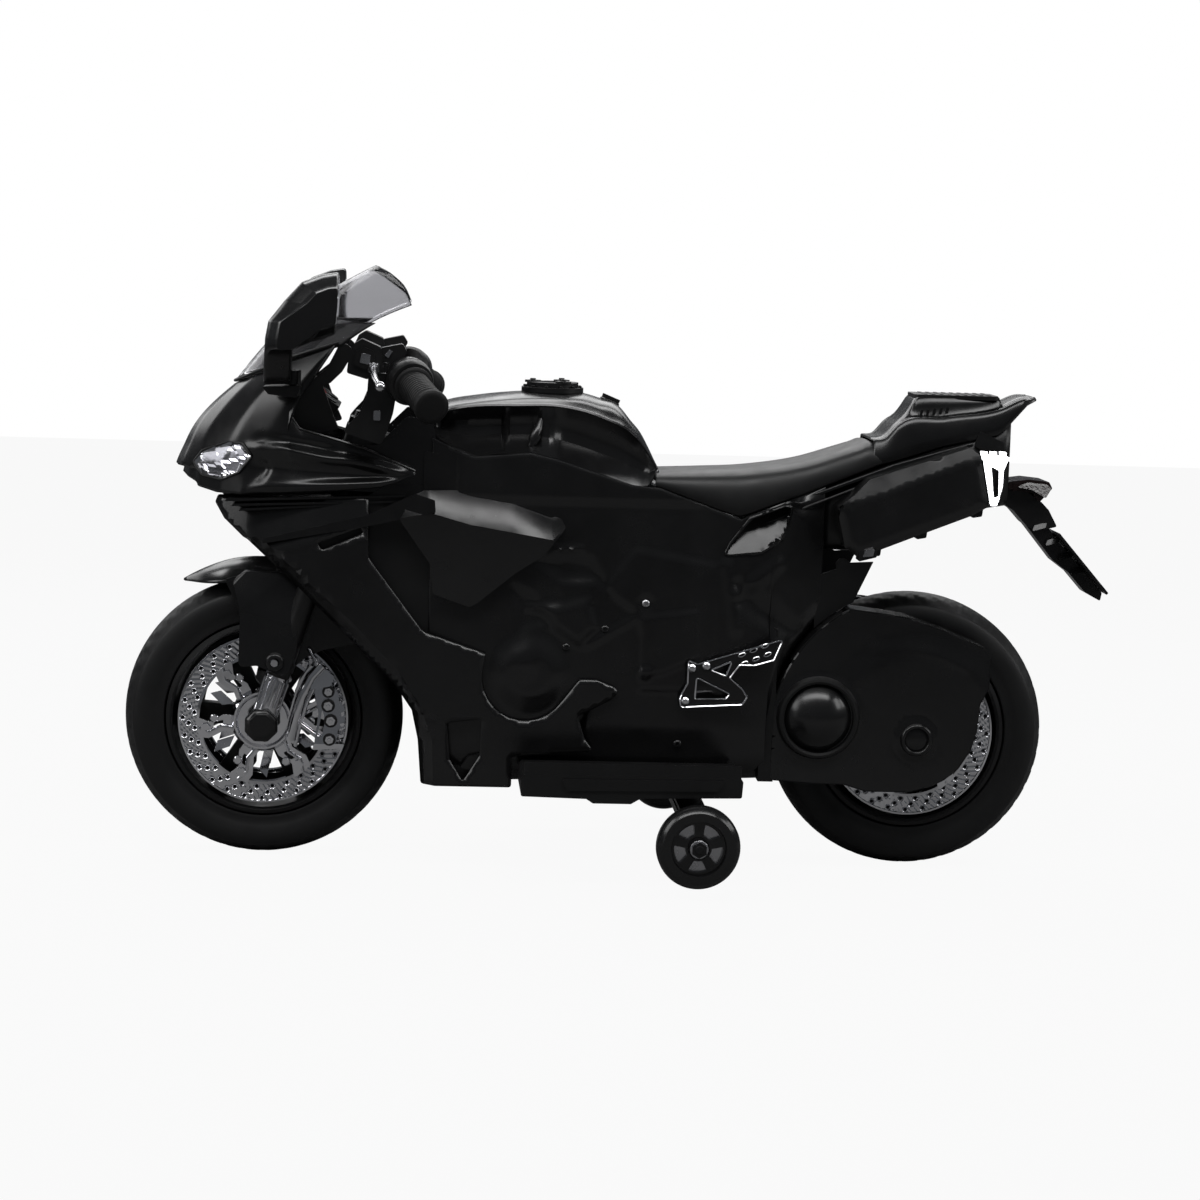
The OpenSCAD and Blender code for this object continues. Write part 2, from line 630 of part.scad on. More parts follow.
module wheel_gear() {
    color("#d9d4c4") difference() {
        union() {
            gear([rear_x, wheel_r], wheel_teeth, wheel_turn);
            cyl_y(rear_x, wheel_r, -38.5, -50, 16);
        }
        cyl_y(rear_x, wheel_r, -30, -60, axle_r + running);
    }
}
module idler_gear() {
    color("#d9d4c4") difference() {
        gear(idler_c, idler_teeth, idler_turn);
        cyl_y(idler_c[0], idler_c[1], -40, -60, 4 + running);
    }
}
module motor_pinion() {
    color("#c8a95a") {
        gear(motor_c, pinion_teeth, pinion_turn);
        cyl_y(motor_c[0], motor_c[1], -56, -80, 1.6);
    }
}

module gearbox() {
    room = [[[rear_x, wheel_r], 47.5], [idler_c, 28.5], [motor_c, 16.5]];
    module chain(extra) for (c = room) translate(c[0]) circle(r = c[1] + extra);
    module slab(d, extra) side_plate(gear_y[0] + 2, d) chain(extra);
    color("#2a2b2e") difference() {
        union() {
            difference() {
                slab(-61, 2.5);
                side_plate(gear_y[0] + 3, -58) chain(0);
            }
            cyl_y(idler_c[0], idler_c[1], -47, -59, 4);
        }
        cyl_y(rear_x, wheel_r, -40, -70, 10);
        cyl_y(motor_c[0], motor_c[1], -40, -70, 2.5);
    }
}

module motor() {
    color("#9a9da3") difference() {
        union() {
            cyl_y(motor_c[0], motor_c[1], -61, -95, 14);
            cyl_y(motor_c[0], motor_c[1], -95, -97, 5);
        }
        cyl_y(motor_c[0], motor_c[1], -50, -82, 1.6 + running);
    }
}

// ---------- steering and front wheel ----------

head_z = [210, 300];
stem_r = 12;
bulkhead_x = body_x[0] - split;
rib_pitch = 22;
// Ribbed panel behind the front wheel that closes the body and carries the steering tube
module steering_head() {
    color("#141416") difference() {
        union() {
            on_steering() translate([0, 0, head_z[0]]) cylinder(r = 22, h = head_z[1] - head_z[0]);
            translate([-270, -26, 372]) cube([270 + bulkhead_x - wall, 52, 44]);
            translate([bulkhead_x - wall, 0, 0]) rotate([90, 0, 90]) linear_extrude(wall) polygon([
                [-70, 94], [70, 94], [86, 130], [86, 340], [66, 440], [-66, 440], [-86, 340], [-86, 130]]);
            for (k = [0:8]) translate([bulkhead_x - wall - 3, -60, 120 + k * rib_pitch]) cube([3, 120, 6]);
        }
        on_steering() translate([0, 0, 150]) cylinder(r = stem_r + running, h = 200);
    }
}

leg_r = 12;
module fork() {
    color("#141416") on_steering() {
        both_sides() translate([-fork_offset, -fork_half, 46]) cylinder(r = leg_r, h = 268);
        difference() {
            union() {
                translate([-fork_offset - 20, -fork_half, head_z[0] - 19]) cube([56, 2 * fork_half, 18]);
                translate([-fork_offset - 18, -fork_half, head_z[1] + 1]) cube([52, 2 * fork_half, 13]);
            }
            both_sides() translate([-fork_offset, -fork_half, 100]) cylinder(r = leg_r - 1, h = 260);
        }
        translate([0, 0, head_z[0] - 10]) cylinder(r = stem_r, h = 122);
        translate([0, 0, head_z[1] + 14]) cylinder(r = 14, h = 8, $fn = 6);
    }
}

module fork_sliders() {
    color("#c6c9ce") difference() {
        on_steering() both_sides() translate([-fork_offset, -fork_half, -24]) difference() {
            cylinder(r = 14, h = 70);
            translate([0, 0, 69.9]) cylinder(r = 20, h = 5);
        }
        about_y(front_x, wheel_r) cylinder(r = axle_r + running, h = 300, center = true);
    }
}

module front_axle() {
    color("#17171a") {
        cyl_y(front_x, wheel_r, -84, 84, axle_r);
        both_sides() {
            cyl_y(front_x, wheel_r, -40, -49.5, 11);
            translate([front_x, -78.5, wheel_r]) rotate([90, 0, 0]) cylinder(r = 17, h = 7, $fn = 8);
        }
    }
}

fender_r = wheel_r + 11;
module front_fender() {
    skirt = 30;
    color("#101012") {
        about_y(front_x, wheel_r) mirror([0, 0, 1]) rotate(48) rotate_extrude(angle = 74)
            polygon([[fender_r - skirt, -47], [fender_r + 2.5, -47], [fender_r + 2.5, 47], [fender_r - skirt, 47],
                [fender_r - skirt, 44.5], [fender_r, 44.5], [fender_r, -44.5], [fender_r - skirt, -44.5]]);
        both_sides() {
            side_plate(-47, -49.8) polygon(reversed([[-420, 270], [-396, 292], [-352, 302], [-326, 268],
                [-344, 205], [-368, 194], [-392, 190], [-400, 200]]));
            on_steering() translate([-fork_offset, -fork_half, 90]) difference() {
                cylinder(r = 15, h = 14);
                translate([0, 0, -1]) cylinder(r = leg_r + running, h = 16);
            }
        }
    }
}

module calipers() {
    outline = [[-345, 150], [-325, 124], [-290, 127], [-287, 165], [-296, 200], [-320, 206], [-344, 190]];
    color("#3a3b3f") both_sides() {
        side_plate(-44.5, -58) polygon(outline);
        side_plate(-58, -64) polygon([[-350, 158], [-336, 146], [-330, 176], [-346, 184]]);
        for (p = [[-310, 150], [-308, 180]]) cyl_y(p[0], p[1], -58, -61, 9);
    }
}

bar_z = head_z[1] + 14;
grip_in = [-236, -132, 524];
grip_out = [-208, -bar_half_w, 494];
module rod(a, b, r) {
    d = b - a;
    translate(a) rotate([0, acos(d[2] / norm(d)), atan2(d[1], d[0])]) cylinder(r = r, h = norm(d));
}
function steering_point(p) = [steer_x + p[0] * cos(rake) + p[2] * sin(rake), p[1],
    wheel_r - p[0] * sin(rake) + p[2] * cos(rake)];
clip_foot = steering_point([-fork_offset, -fork_half, bar_z + 6]);

module handlebar() {
    color("#131315") both_sides() {
        on_steering() translate([-fork_offset, -fork_half, bar_z + 0.2]) cylinder(r = 15, h = 16);
        rod(clip_foot, grip_in, 9);
        rod(grip_in, grip_out, 8);
    }
}

module grips() {
    d = unit(grip_out - grip_in);
    color("#0b0b0b") both_sides() difference() {
        union() {
            rod(grip_in + 20 * d, grip_out + 4 * d, 16);
            rod(grip_in + 18 * d, grip_in + 22 * d, 20);
            rod(grip_out, grip_out + 4.2 * d, 18);
        }
        rod(grip_in - 5 * d, grip_out + 0.1 * d, 8.05);
    }
}

horn_c = [-209, -131, 523];
module switch_pods() {
    d = unit(grip_out - grip_in);
    color("#141417") difference() {
        both_sides() {
            difference() {
                rod(grip_in - 7 * d, grip_in + 17 * d, 24);
                rod(grip_in - 20 * d, grip_in + 30 * d, 9.3);
                rod(clip_foot, grip_in, 9.3);
            }
            translate([-297, -132, 524]) cube([32, 20, 20]);
            translate([-266, -128, 526]) cube([8, 12, 8]);
        }
        translate([horn_c[0] - 12, horn_c[1], horn_c[2]]) rotate([0, 90, 0]) cylinder(r = 5.2, h = 20);
    }
}
module horn_button() {
    color("#b52a22") translate([horn_c[0] - 9.5, horn_c[1], horn_c[2]]) rotate([0, 90, 0])
        cylinder(r = 5, h = 10);
}

lever_pivot = [-264, -140, 528];
module brake_lever() {
    d = grip_out - grip_in;
    a = lever_pivot + [-3, 0, 0];
    b = a + [8, -52, -16];
    color("#8f9298") {
        rod(a, b, 4);
        rod(a + [0, 0, -5], a + [0, 0, 5], 6);
        translate(b) sphere(r = 5.5, $fn = 24);
    }
}
module brake_lever_left() { brake_lever(); }
module brake_lever_right() { mirror([0, 1, 0]) brake_lever(); }

// ---------- wheels ----------

rim_r = wheel_r - 28;
tyre_h = tyre_w / 2;
module tyre(x) {
    r = wheel_r;
    color("#161616") about_y(x, wheel_r) rotate_extrude($fn = 96)
        polygon([[rim_r, -tyre_h + 8], [rim_r + 4, -tyre_h + 2], [rim_r + 12, -tyre_h], [r - 7, -tyre_h + 6],
            [r - 2, -tyre_h + 17], [r, -6], [r, 6], [r - 2, tyre_h - 17], [r - 7, tyre_h - 6],
            [rim_r + 12, tyre_h], [rim_r + 4, tyre_h - 2], [rim_r, tyre_h - 8]]);
}
module front_tyre() { tyre(front_x); }
module rear_tyre() { tyre(rear_x); }

module rim(x) {
    color("#19191b") about_y(x, wheel_r) difference() {
        rotate_extrude() polygon([[axle_r + running, -36], [26, -36], [26, -6], [95, -6], [97, -33],
            [rim_r, -29.5], [rim_r, 29.5], [97, 33], [95, 6], [26, 6], [26, 36], [axle_r + running, 36]]);
        for (a = [0:60:300]) rotate(a) translate([60, 0, 0]) cylinder(r = 22, h = 30, center = true);
    }
}
module front_rim() { rim(front_x); }
module rear_rim() { rim(rear_x); }

module discs(x) {
    color("#d6d9dd") about_y(x, wheel_r) for (s = [0, 1]) mirror([0, 0, s]) translate([0, 0, 36])
        difference() {
            cylinder(r = disc_r, h = 2.5);
            translate([0, 0, -1]) {
                cylinder(r = 12, h = 5);
                for (k = [0:disc_holes - 1]) rotate(k * 360 / disc_holes) translate([disc_r - 7, 0, 0])
                    cylinder(r = 2.6, h = 5);
                for (k = [0:4]) rotate(k * 72) translate([44, 0, 0]) cylinder(r = 13, h = 5);
            }
        }
}
module front_discs() { discs(front_x); }
module rear_discs() { difference() { discs(rear_x); cyl_y(rear_x, wheel_r, -30, -60, 12); } }

// ---------- controls that move ----------

module throttle_pedal() {
    color("#1f1f22") {
        side_plate(118.5, 167.5) polygon([[-72, 135], [-21, 124.5], [-15, 124.5], [-14, 131], [-70, 140]]);
        cyl_y(pedal_axis[0], pedal_axis[1], 112.5, 173.5, 2.5);
    }
}

body_left();
body_right();
steering_head();
tank_cover();
tank_cap();
battery_latch();
seat();
tail_cowl();
tail_pad();
tail_under();
plate_holder();
rear_lights();
exhausts();
exhaust_tips();
swing_covers();
dome_caps();
rear_axle();
nose_cowl();
windscreen();
headlights();
instrument_panel();
fairing_left();
fairing_right();
winglets();
footboards();
heel_plates();
stabiliser_bracket();
battery();
motor();
gearbox();
controller();
wiring();
screws();
fork();
fork_sliders();
front_fender();
front_axle();
calipers();
handlebar();
grips();
switch_pods();
front_tyre();
front_rim();
front_discs();
rear_tyre();
rear_rim();
rear_discs();
wheel_gear();
idler_gear();
motor_pinion();
stabiliser_wheel_left();
stabiliser_wheel_right();
throttle_pedal();
brake_lever_left();
brake_lever_right();
mirror_left();
mirror_right();
power_switch();
direction_switch();
horn_button();
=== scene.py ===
"""Looks of a child's ride-on sport motorcycle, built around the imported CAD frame.

Lengths are millimetres along the frame's own axes: -X is forward, -Y is the rider's left and
+Z is up. They become metres where a mesh is made. Most shapes are drawn for the rider's left
and mirrored.
"""

import json
import math

import bmesh
import bpy
import numpy as np
from mathutils import Matrix, Vector
from mathutils.bvhtree import BVHTree
from mathutils.geometry import delaunay_2d_cdt

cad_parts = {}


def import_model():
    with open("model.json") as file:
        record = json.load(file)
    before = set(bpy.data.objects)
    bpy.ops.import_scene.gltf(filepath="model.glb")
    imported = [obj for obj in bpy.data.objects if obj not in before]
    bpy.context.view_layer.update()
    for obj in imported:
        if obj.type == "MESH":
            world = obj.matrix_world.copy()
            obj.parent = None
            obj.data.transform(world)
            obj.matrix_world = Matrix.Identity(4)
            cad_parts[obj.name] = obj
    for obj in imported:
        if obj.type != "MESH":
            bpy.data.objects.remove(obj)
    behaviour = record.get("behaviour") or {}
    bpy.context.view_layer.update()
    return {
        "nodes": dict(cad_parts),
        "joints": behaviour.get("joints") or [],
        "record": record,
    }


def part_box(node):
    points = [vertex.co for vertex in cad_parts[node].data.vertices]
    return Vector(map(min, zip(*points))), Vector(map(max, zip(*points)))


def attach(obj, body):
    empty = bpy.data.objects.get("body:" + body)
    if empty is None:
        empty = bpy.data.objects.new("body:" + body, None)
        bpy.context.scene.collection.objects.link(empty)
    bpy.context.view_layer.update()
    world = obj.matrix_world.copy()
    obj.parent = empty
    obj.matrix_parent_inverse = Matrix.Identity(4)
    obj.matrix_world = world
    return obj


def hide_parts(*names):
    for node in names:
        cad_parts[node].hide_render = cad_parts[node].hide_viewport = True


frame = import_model()
MM = 0.001
BODY_OF = {n: b for b, nodes in frame["record"]["behaviour"]["bodies"].items() for n in nodes}
SLOT_OF = {s["node"]: s["material_slot"] for s in frame["record"]["subparts"]}
MATERIALS = {}


# ---------- places taken from the frame ----------

def box_mm(node):
    """Lowest and highest corner of a CAD node, in millimetres."""
    low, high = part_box(node)
    return np.array(low) / MM, np.array(high) / MM


def middle(node):
    """Centre of a CAD node's box, in millimetres."""
    low, high = box_mm(node)
    return (low + high) / 2


def joint(name):
    """The frame's record of a joint."""
    return next(j for j in frame["joints"] if j["name"] == name)


FRONT = middle("front_tyre")
REAR = middle("rear_tyre")
WHEEL_R = FRONT[2]
HALF_TYRE = (box_mm("front_tyre")[1] - FRONT)[1]
STEER = np.array(joint("steering")["pos_m"]) / MM
RAKE = math.atan2(joint("steering")["axis"][0], joint("steering")["axis"][2])
BODY_SIDE = -box_mm("body_left")[0][1]
BOARD_SIDE = -box_mm("footboards")[0][1]


# ---------- numbers and outlines ----------

def ease(t):
    """Smooth step from 0 to 1."""
    t = np.clip(t, 0, 1)
    return t * t * (3 - 2 * t)


def at(x, *table):
    """Straight lines through (x, value) pairs."""
    xs, ys = zip(*table)
    return np.interp(x, xs, ys)


def flow(x, *table):
    """A smooth curve through (x, value) pairs."""
    xs, ys = np.array(table, float).T
    slope = np.gradient(ys, xs)
    i = np.clip(np.searchsorted(xs, x) - 1, 0, len(xs) - 2)
    h = xs[i + 1] - xs[i]
    t = np.clip((x - xs[i]) / h, 0, 1)
    return ((1 + 2 * t) * (1 - t) ** 2 * ys[i] + t * (1 - t) ** 2 * h * slope[i]
            + t * t * (3 - 2 * t) * ys[i + 1] + t * t * (t - 1) * h * slope[i + 1])


def circle(centre, r, n=32, start=0.0, sweep=360.0):
    """Points round a circle, or along an arc where the sweep isn't a full turn."""
    steps = n if abs(sweep) == 360 else n + 1
    angles = [math.radians(start + sweep * k / n) for k in range(steps)]
    return [(centre[0] + r * math.cos(a), centre[1] + r * math.sin(a)) for a in angles]


def rounded(points, r, n=5):
    """A closed outline with its corners rounded to radius r, or less where an edge is short."""
    out = []
    count = len(points)
    for i in range(count):
        p = np.array(points[i], float)
        a = np.array(points[i - 1], float) - p
        b = np.array(points[(i + 1) % count], float) - p
        la, lb = np.linalg.norm(a), np.linalg.norm(b)
        half = math.acos(np.clip(a @ b / (la * lb), -1, 1)) / 2
        cut = min(r / max(math.tan(half), 0.05), 0.45 * la, 0.45 * lb)
        start, end = p + a / la * cut, p + b / lb * cut
        for k in range(n + 1):
            t = k / n
            out.append(tuple((1 - t) ** 2 * start + 2 * t * (1 - t) * p + t * t * end))
    return out


def rectangle(x0, x1, z0, z1, r):
    """A rectangle with rounded corners."""
    return rounded([(x0, z0), (x1, z0), (x1, z1), (x0, z1)], r)


def dense(points, step, closed=False):
    """The same line with a point at least every step."""
    ends = points[1:] + points[:1] if closed else points[1:]
    out = []
    for p, q in zip(points, ends):
        n = max(1, math.ceil(math.dist(p, q) / step))
        out += [tuple(np.array(p) + (np.array(q) - np.array(p)) * k / n) for k in range(n)]
    return out if closed else out + [tuple(points[-1])]


def inside(points, loop):
    """Which (x, z) points lie inside a closed outline."""
    x, z = points[:, 0], points[:, 1]
    hit = np.zeros(len(points), bool)
    for (x0, z0), (x1, z1) in zip(loop, loop[1:] + loop[:1]):
        if z0 != z1:
            hit ^= ((z0 > z) != (z1 > z)) & (x < (x1 - x0) * (z - z0) / (z1 - z0) + x0)
    return hit


def to_line(x, z, line):
    """Distance of points from a line of points."""
    best = np.full(np.shape(x), 1e9)
    for (x0, z0), (x1, z1) in zip(line, line[1:]):
        dx, dz = x1 - x0, z1 - z0
        t = np.clip(((x - x0) * dx + (z - z0) * dz) / (dx * dx + dz * dz), 0, 1)
        best = np.minimum(best, np.hypot(x - x0 - t * dx, z - z0 - t * dz))
    return best


def into(x, z, loop):
    """Depth inside a closed outline, below zero outside it."""
    d = to_line(x, z, list(loop) + [loop[0]])
    points = np.stack([np.ravel(x), np.ravel(z)], 1)
    return np.where(inside(points, list(loop)).reshape(np.shape(x)), d, -d)


def plateau(x, z, loop, height, edge=6.0):
    """A raised or sunk area with sloping sides."""
    return height * ease(into(x, z, loop) / edge + 0.5)


# ---------- parts: (points, faces) ----------

def grid(rows, close_u=False, close_v=False):
    """Faces over rows of points; the outside is cross(along the rows' order, along a row)."""
    n, m = len(rows), len(rows[0])
    faces = []
    for i in range(n if close_u else n - 1):
        for j in range(m if close_v else m - 1):
            k, q = (i + 1) % n, (j + 1) % m
            faces.append((i * m + j, k * m + j, k * m + q, i * m + q))
    return np.array([p for row in rows for p in row], float), faces


def across(x, half):
    """A row of points over the machine, from the (y, z) points of one half taken from outside in."""
    return [(x, -y, z) for y, z in half] + [(x, y, z) for y, z in half[-2::-1]]


def wall(loop, y0, y1):
    """A band between two copies of an (x, z) outline; each depth is one number or one for each point."""
    depths = [np.broadcast_to(y, len(loop)) for y in (y0, y1)]
    return grid([[(x, y, z) for (x, z), y in zip(loop, row)] for row in depths], close_v=True)


def loft(rings, cap_start=True, cap_end=True):
    """A skin through closed rings of points."""
    points, faces = grid(rings, close_v=True)
    m = len(rings[0])
    if cap_start:
        faces.append(tuple(range(m)))
    if cap_end:
        faces.append(tuple(reversed(range(len(points) - m, len(points)))))
    return points, faces


def revolve(profile, centre, n=64, closed=False, start=0.0, sweep=360.0):
    """A profile of (radius, y) turned about the Y axis through centre."""
    full = abs(sweep) == 360
    angles = [math.radians(start + sweep * k / n) for k in range(n if full else n + 1)]
    rows = [[(centre[0] + r * math.cos(a), y, centre[2] + r * math.sin(a)) for r, y in profile]
            for a in angles]
    return grid(rows, close_u=full, close_v=closed)


def fill(loops, extra=(), creases=()):
    """Triangles inside loops[0] and outside the other loops, through extra points and creases."""
    points, edges = [], []
    for loop in loops:
        first = len(points)
        points += loop
        edges += [(first + i, first + (i + 1) % len(loop)) for i in range(len(loop))]
    for line in creases:
        first = len(points)
        points += line
        edges += [(first + i, first + i + 1) for i in range(len(line) - 1)]
    points += [tuple(p) for p in extra]
    out = delaunay_2d_cdt([Vector(p) for p in points], edges, [], 0, 1e-4)
    flat = np.array([tuple(p) for p in out[0]])
    mid = flat[np.array(out[2])].mean(1)
    keep = inside(mid, list(loops[0]))
    for hole in loops[1:]:
        keep &= ~inside(mid, list(hole))
    return flat, [tuple(f) for f, k in zip(out[2], keep) if k]


def prism(outline, y0, y1, holes=()):
    """A plate with that (x, z) outline between two depths."""
    loops = [list(outline)] + [list(h) for h in holes]
    flat, faces = fill(loops)
    n = len(flat)
    points = [(p[0], y, p[1]) for y in (y0, y1) for p in flat]
    faces = faces + [tuple(n + i for i in reversed(f)) for f in faces]
    for loop in loops:
        first = len(points)
        m = len(loop)
        points += [(p[0], y, p[1]) for y in (y0, y1) for p in loop]
        for i in range(m):
            k = (i + 1) % m
            faces.append((first + i, first + m + i, first + m + k, first + k))
    return np.array(points), faces


def cut_plate(outline, r, y0, y1):
    """A plate between two depths whose outline has its corners rounded to radius r."""
    return prism(rounded(outline, r), y0, y1)


def relief(outline, depth, step=5.0, holes=(), creases=()):
    """A surface over an (x, z) outline whose y is -depth(x, z)."""
    loops = [dense(list(outline), step, True)] + [dense(list(h), step, True) for h in holes]
    lines = [dense(list(c), step) for c in creases]
    box = np.array(outline)
    xs = np.arange(box[:, 0].min() + step / 2, box[:, 0].max(), step)
    zs = np.arange(box[:, 1].min() + step / 2, box[:, 1].max(), step)
    gx, gz = (v.ravel() for v in np.meshgrid(xs, zs))
    far = into(gx, gz, outline) > 0.45 * step
    for h in holes:
        far &= into(gx, gz, h) < -0.45 * step
    for c in creases:
        far &= to_line(gx, gz, c) > 0.45 * step
    flat, faces = fill(loops, np.stack([gx[far], gz[far]], 1), lines)
    y = -depth(flat[:, 0], flat[:, 1])
    return np.stack([flat[:, 0], y, flat[:, 1]], 1), faces


def tube(path, r, n=16):
    """A round bar along a path; r is one radius or one for each point."""
    path = [np.array(p, float) for p in path]
    radii = r if hasattr(r, "__len__") else [r] * len(path)
    rings = []
    side = None
    for i, p in enumerate(path):
        heading = path[min(i + 1, len(path) - 1)] - path[max(i - 1, 0)]
        heading /= np.linalg.norm(heading)
        seed = side if side is not None else np.cross(heading, (0.3, 0.1, 0.9))
        side = seed - heading * (seed @ heading)
        side /= np.linalg.norm(side)
        up = np.cross(heading, side)
        rings.append([tuple(p + radii[i] * (math.cos(a) * side + math.sin(a) * up))
                      for a in (2 * math.pi * k / n for k in range(n))])
    return loft(rings)


def rod(a, b, profile, n=28):
    """A turned bar from a to b; profile is (distance from a, radius) pairs."""
    a, b = np.array(a, float), np.array(b, float)
    d = (b - a) / np.linalg.norm(b - a)
    side = np.cross(d, (0.2, 0.1, 0.97))
    side /= np.linalg.norm(side)
    up = np.cross(d, side)
    rings = [[tuple(a + d * s + r * (math.cos(t) * side + math.sin(t) * up))
              for t in (2 * math.pi * k / n for k in range(n))] for s, r in profile]
    return loft(rings)


def upright(part):
    """Turns a plate drawn in (x, z) so that it lies in (x, y) and its depth becomes height."""
    return part[0][:, [0, 2, 1]], part[1]


def tilted(part, foot, angle):
    """Moves a part drawn about its own Z axis to foot, with that axis leaned back by angle."""
    x, y, z = part[0].T
    c, s = math.cos(angle), math.sin(angle)
    return np.stack([foot[0] + x * c + z * s, foot[1] + y, foot[2] - x * s + z * c], 1), part[1]


def in_steering(part):
    """Moves a part drawn in the steering frame, whose axis is Z, to its place."""
    return tilted(part, STEER, RAKE)


def flipped(part):
    """The same part on the rider's other side."""
    return part[0] * (1, -1, 1), [tuple(reversed(f)) for f in part[1]]


def as_drawn(part):
    """The part itself, for the side it is drawn on."""
    return part


SIDES = (("left", as_drawn), ("right", flipped))


def both(parts):
    """The parts and their mirror images."""
    return parts + [flipped(p) for p in parts]


# ---------- pieces ----------

def make(name, parts, nodes=(), on=None, paint=None, thick=0.0, bevel=0.0, subdiv=0, sharp=38,
         closed=True):
    """One Blender piece from parts. It stands for the CAD nodes, or only rides where `on` does."""
    nodes = [nodes] if isinstance(nodes, str) else list(nodes)
    home = on or nodes[0]
    slot = paint or SLOT_OF[home]
    points, faces, count = [], [], 0
    for p, f in parts:
        points.append(p)
        faces += [tuple(count + i for i in face) for face in f]
        count += len(p)
    mesh = bpy.data.meshes.new(name)
    mesh.from_pydata((np.concatenate(points) * MM).tolist(), [], faces)
    work = bmesh.new()
    work.from_mesh(mesh)
    bmesh.ops.remove_doubles(work, verts=work.verts, dist=0.02 * MM)
    if closed:
        bmesh.ops.recalc_face_normals(work, faces=work.faces)
    work.to_mesh(mesh)
    work.free()
    mesh.shade_smooth()
    mesh.set_sharp_from_angle(angle=math.radians(sharp))
    obj = bpy.data.objects.new(name, mesh)
    bpy.context.scene.collection.objects.link(obj)
    mesh.materials.append(MATERIALS[slot])
    if thick:
        shell = obj.modifiers.new("wall", "SOLIDIFY")
        shell.thickness = thick * MM
        shell.offset = -1
    if subdiv:
        smooth = obj.modifiers.new("smooth", "SUBSURF")
        smooth.levels = smooth.render_levels = subdiv
    if bevel:
        edge = obj.modifiers.new("edge", "BEVEL")
        edge.width = bevel * MM
        edge.segments = 2
        edge.limit_method = "ANGLE"
        edge.angle_limit = math.radians(sharp)
        edge.harden_normals = True
    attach(obj, BODY_OF[home])
    if nodes:
        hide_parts(*nodes)
    return obj


def keep(*nodes):
    """CAD nodes whose shape is right get only a finish."""
    for node in nodes:
        mesh = frame["nodes"][node].data
        mesh.materials.clear()
        mesh.materials.append(MATERIALS[SLOT_OF[node]])


# ---------- materials ----------

def surface(slot, colour, shade, rough, spread, grain=900.0, bump=0.1, depth=0.05, metal=0.0,
            specular=0.5, coat=0.0, streak=(1, 1, 1)):
    """A moulded or metal finish: two shades of colour, uneven roughness and a fine grain."""
    material = bpy.data.materials.new(slot)
    material.use_nodes = True
    nodes, links = material.node_tree.nodes, material.node_tree.links
    shader = nodes["Principled BSDF"]
    place = nodes.new("ShaderNodeTexCoord")
    stretch = nodes.new("ShaderNodeMapping")
    stretch.inputs["Scale"].default_value = streak
    links.new(place.outputs["Object"], stretch.inputs["Vector"])

    def noise(scale, detail):
        texture = nodes.new("ShaderNodeTexNoise")
        texture.inputs["Scale"].default_value = scale
        texture.inputs["Detail"].default_value = detail
        links.new(stretch.outputs["Vector"], texture.inputs["Vector"])
        return texture.outputs["Fac"]

    def spread_of(value, low, high):
        """The texture's useful range stretched to low and high."""
        remap = nodes.new("ShaderNodeMapRange")
        remap.inputs["From Min"].default_value = 0.3
        remap.inputs["From Max"].default_value = 0.7
        remap.inputs["To Min"].default_value = low
        remap.inputs["To Max"].default_value = high
        links.new(value, remap.inputs["Value"])
        return remap.outputs["Result"]

    cloud = noise(9.0, 4.0)
    mix = nodes.new("ShaderNodeMix")
    mix.data_type = "RGBA"
    mix.inputs["A"].default_value = (*colour, 1)
    mix.inputs["B"].default_value = (*shade, 1)
    links.new(spread_of(cloud, 0, 1), mix.inputs["Factor"])
    links.new(mix.outputs["Result"], shader.inputs["Base Color"])
    links.new(spread_of(noise(38.0, 5.0), rough - spread, rough + spread), shader.inputs["Roughness"])
    rise = nodes.new("ShaderNodeBump")
    rise.inputs["Strength"].default_value = bump
    rise.inputs["Distance"].default_value = depth * MM
    links.new(noise(grain, 2.0), rise.inputs["Height"])
    links.new(rise.outputs["Normal"], shader.inputs["Normal"])
    shader.inputs["Metallic"].default_value = metal
    shader.inputs["Specular IOR Level"].default_value = specular
    shader.inputs["Coat Weight"].default_value = coat
    shader.inputs["Coat Roughness"].default_value = 0.08
    MATERIALS[slot] = material
    return shader


def grey(v):
    """A near-neutral colour of value v."""
    return (v, v, v * 1.03)


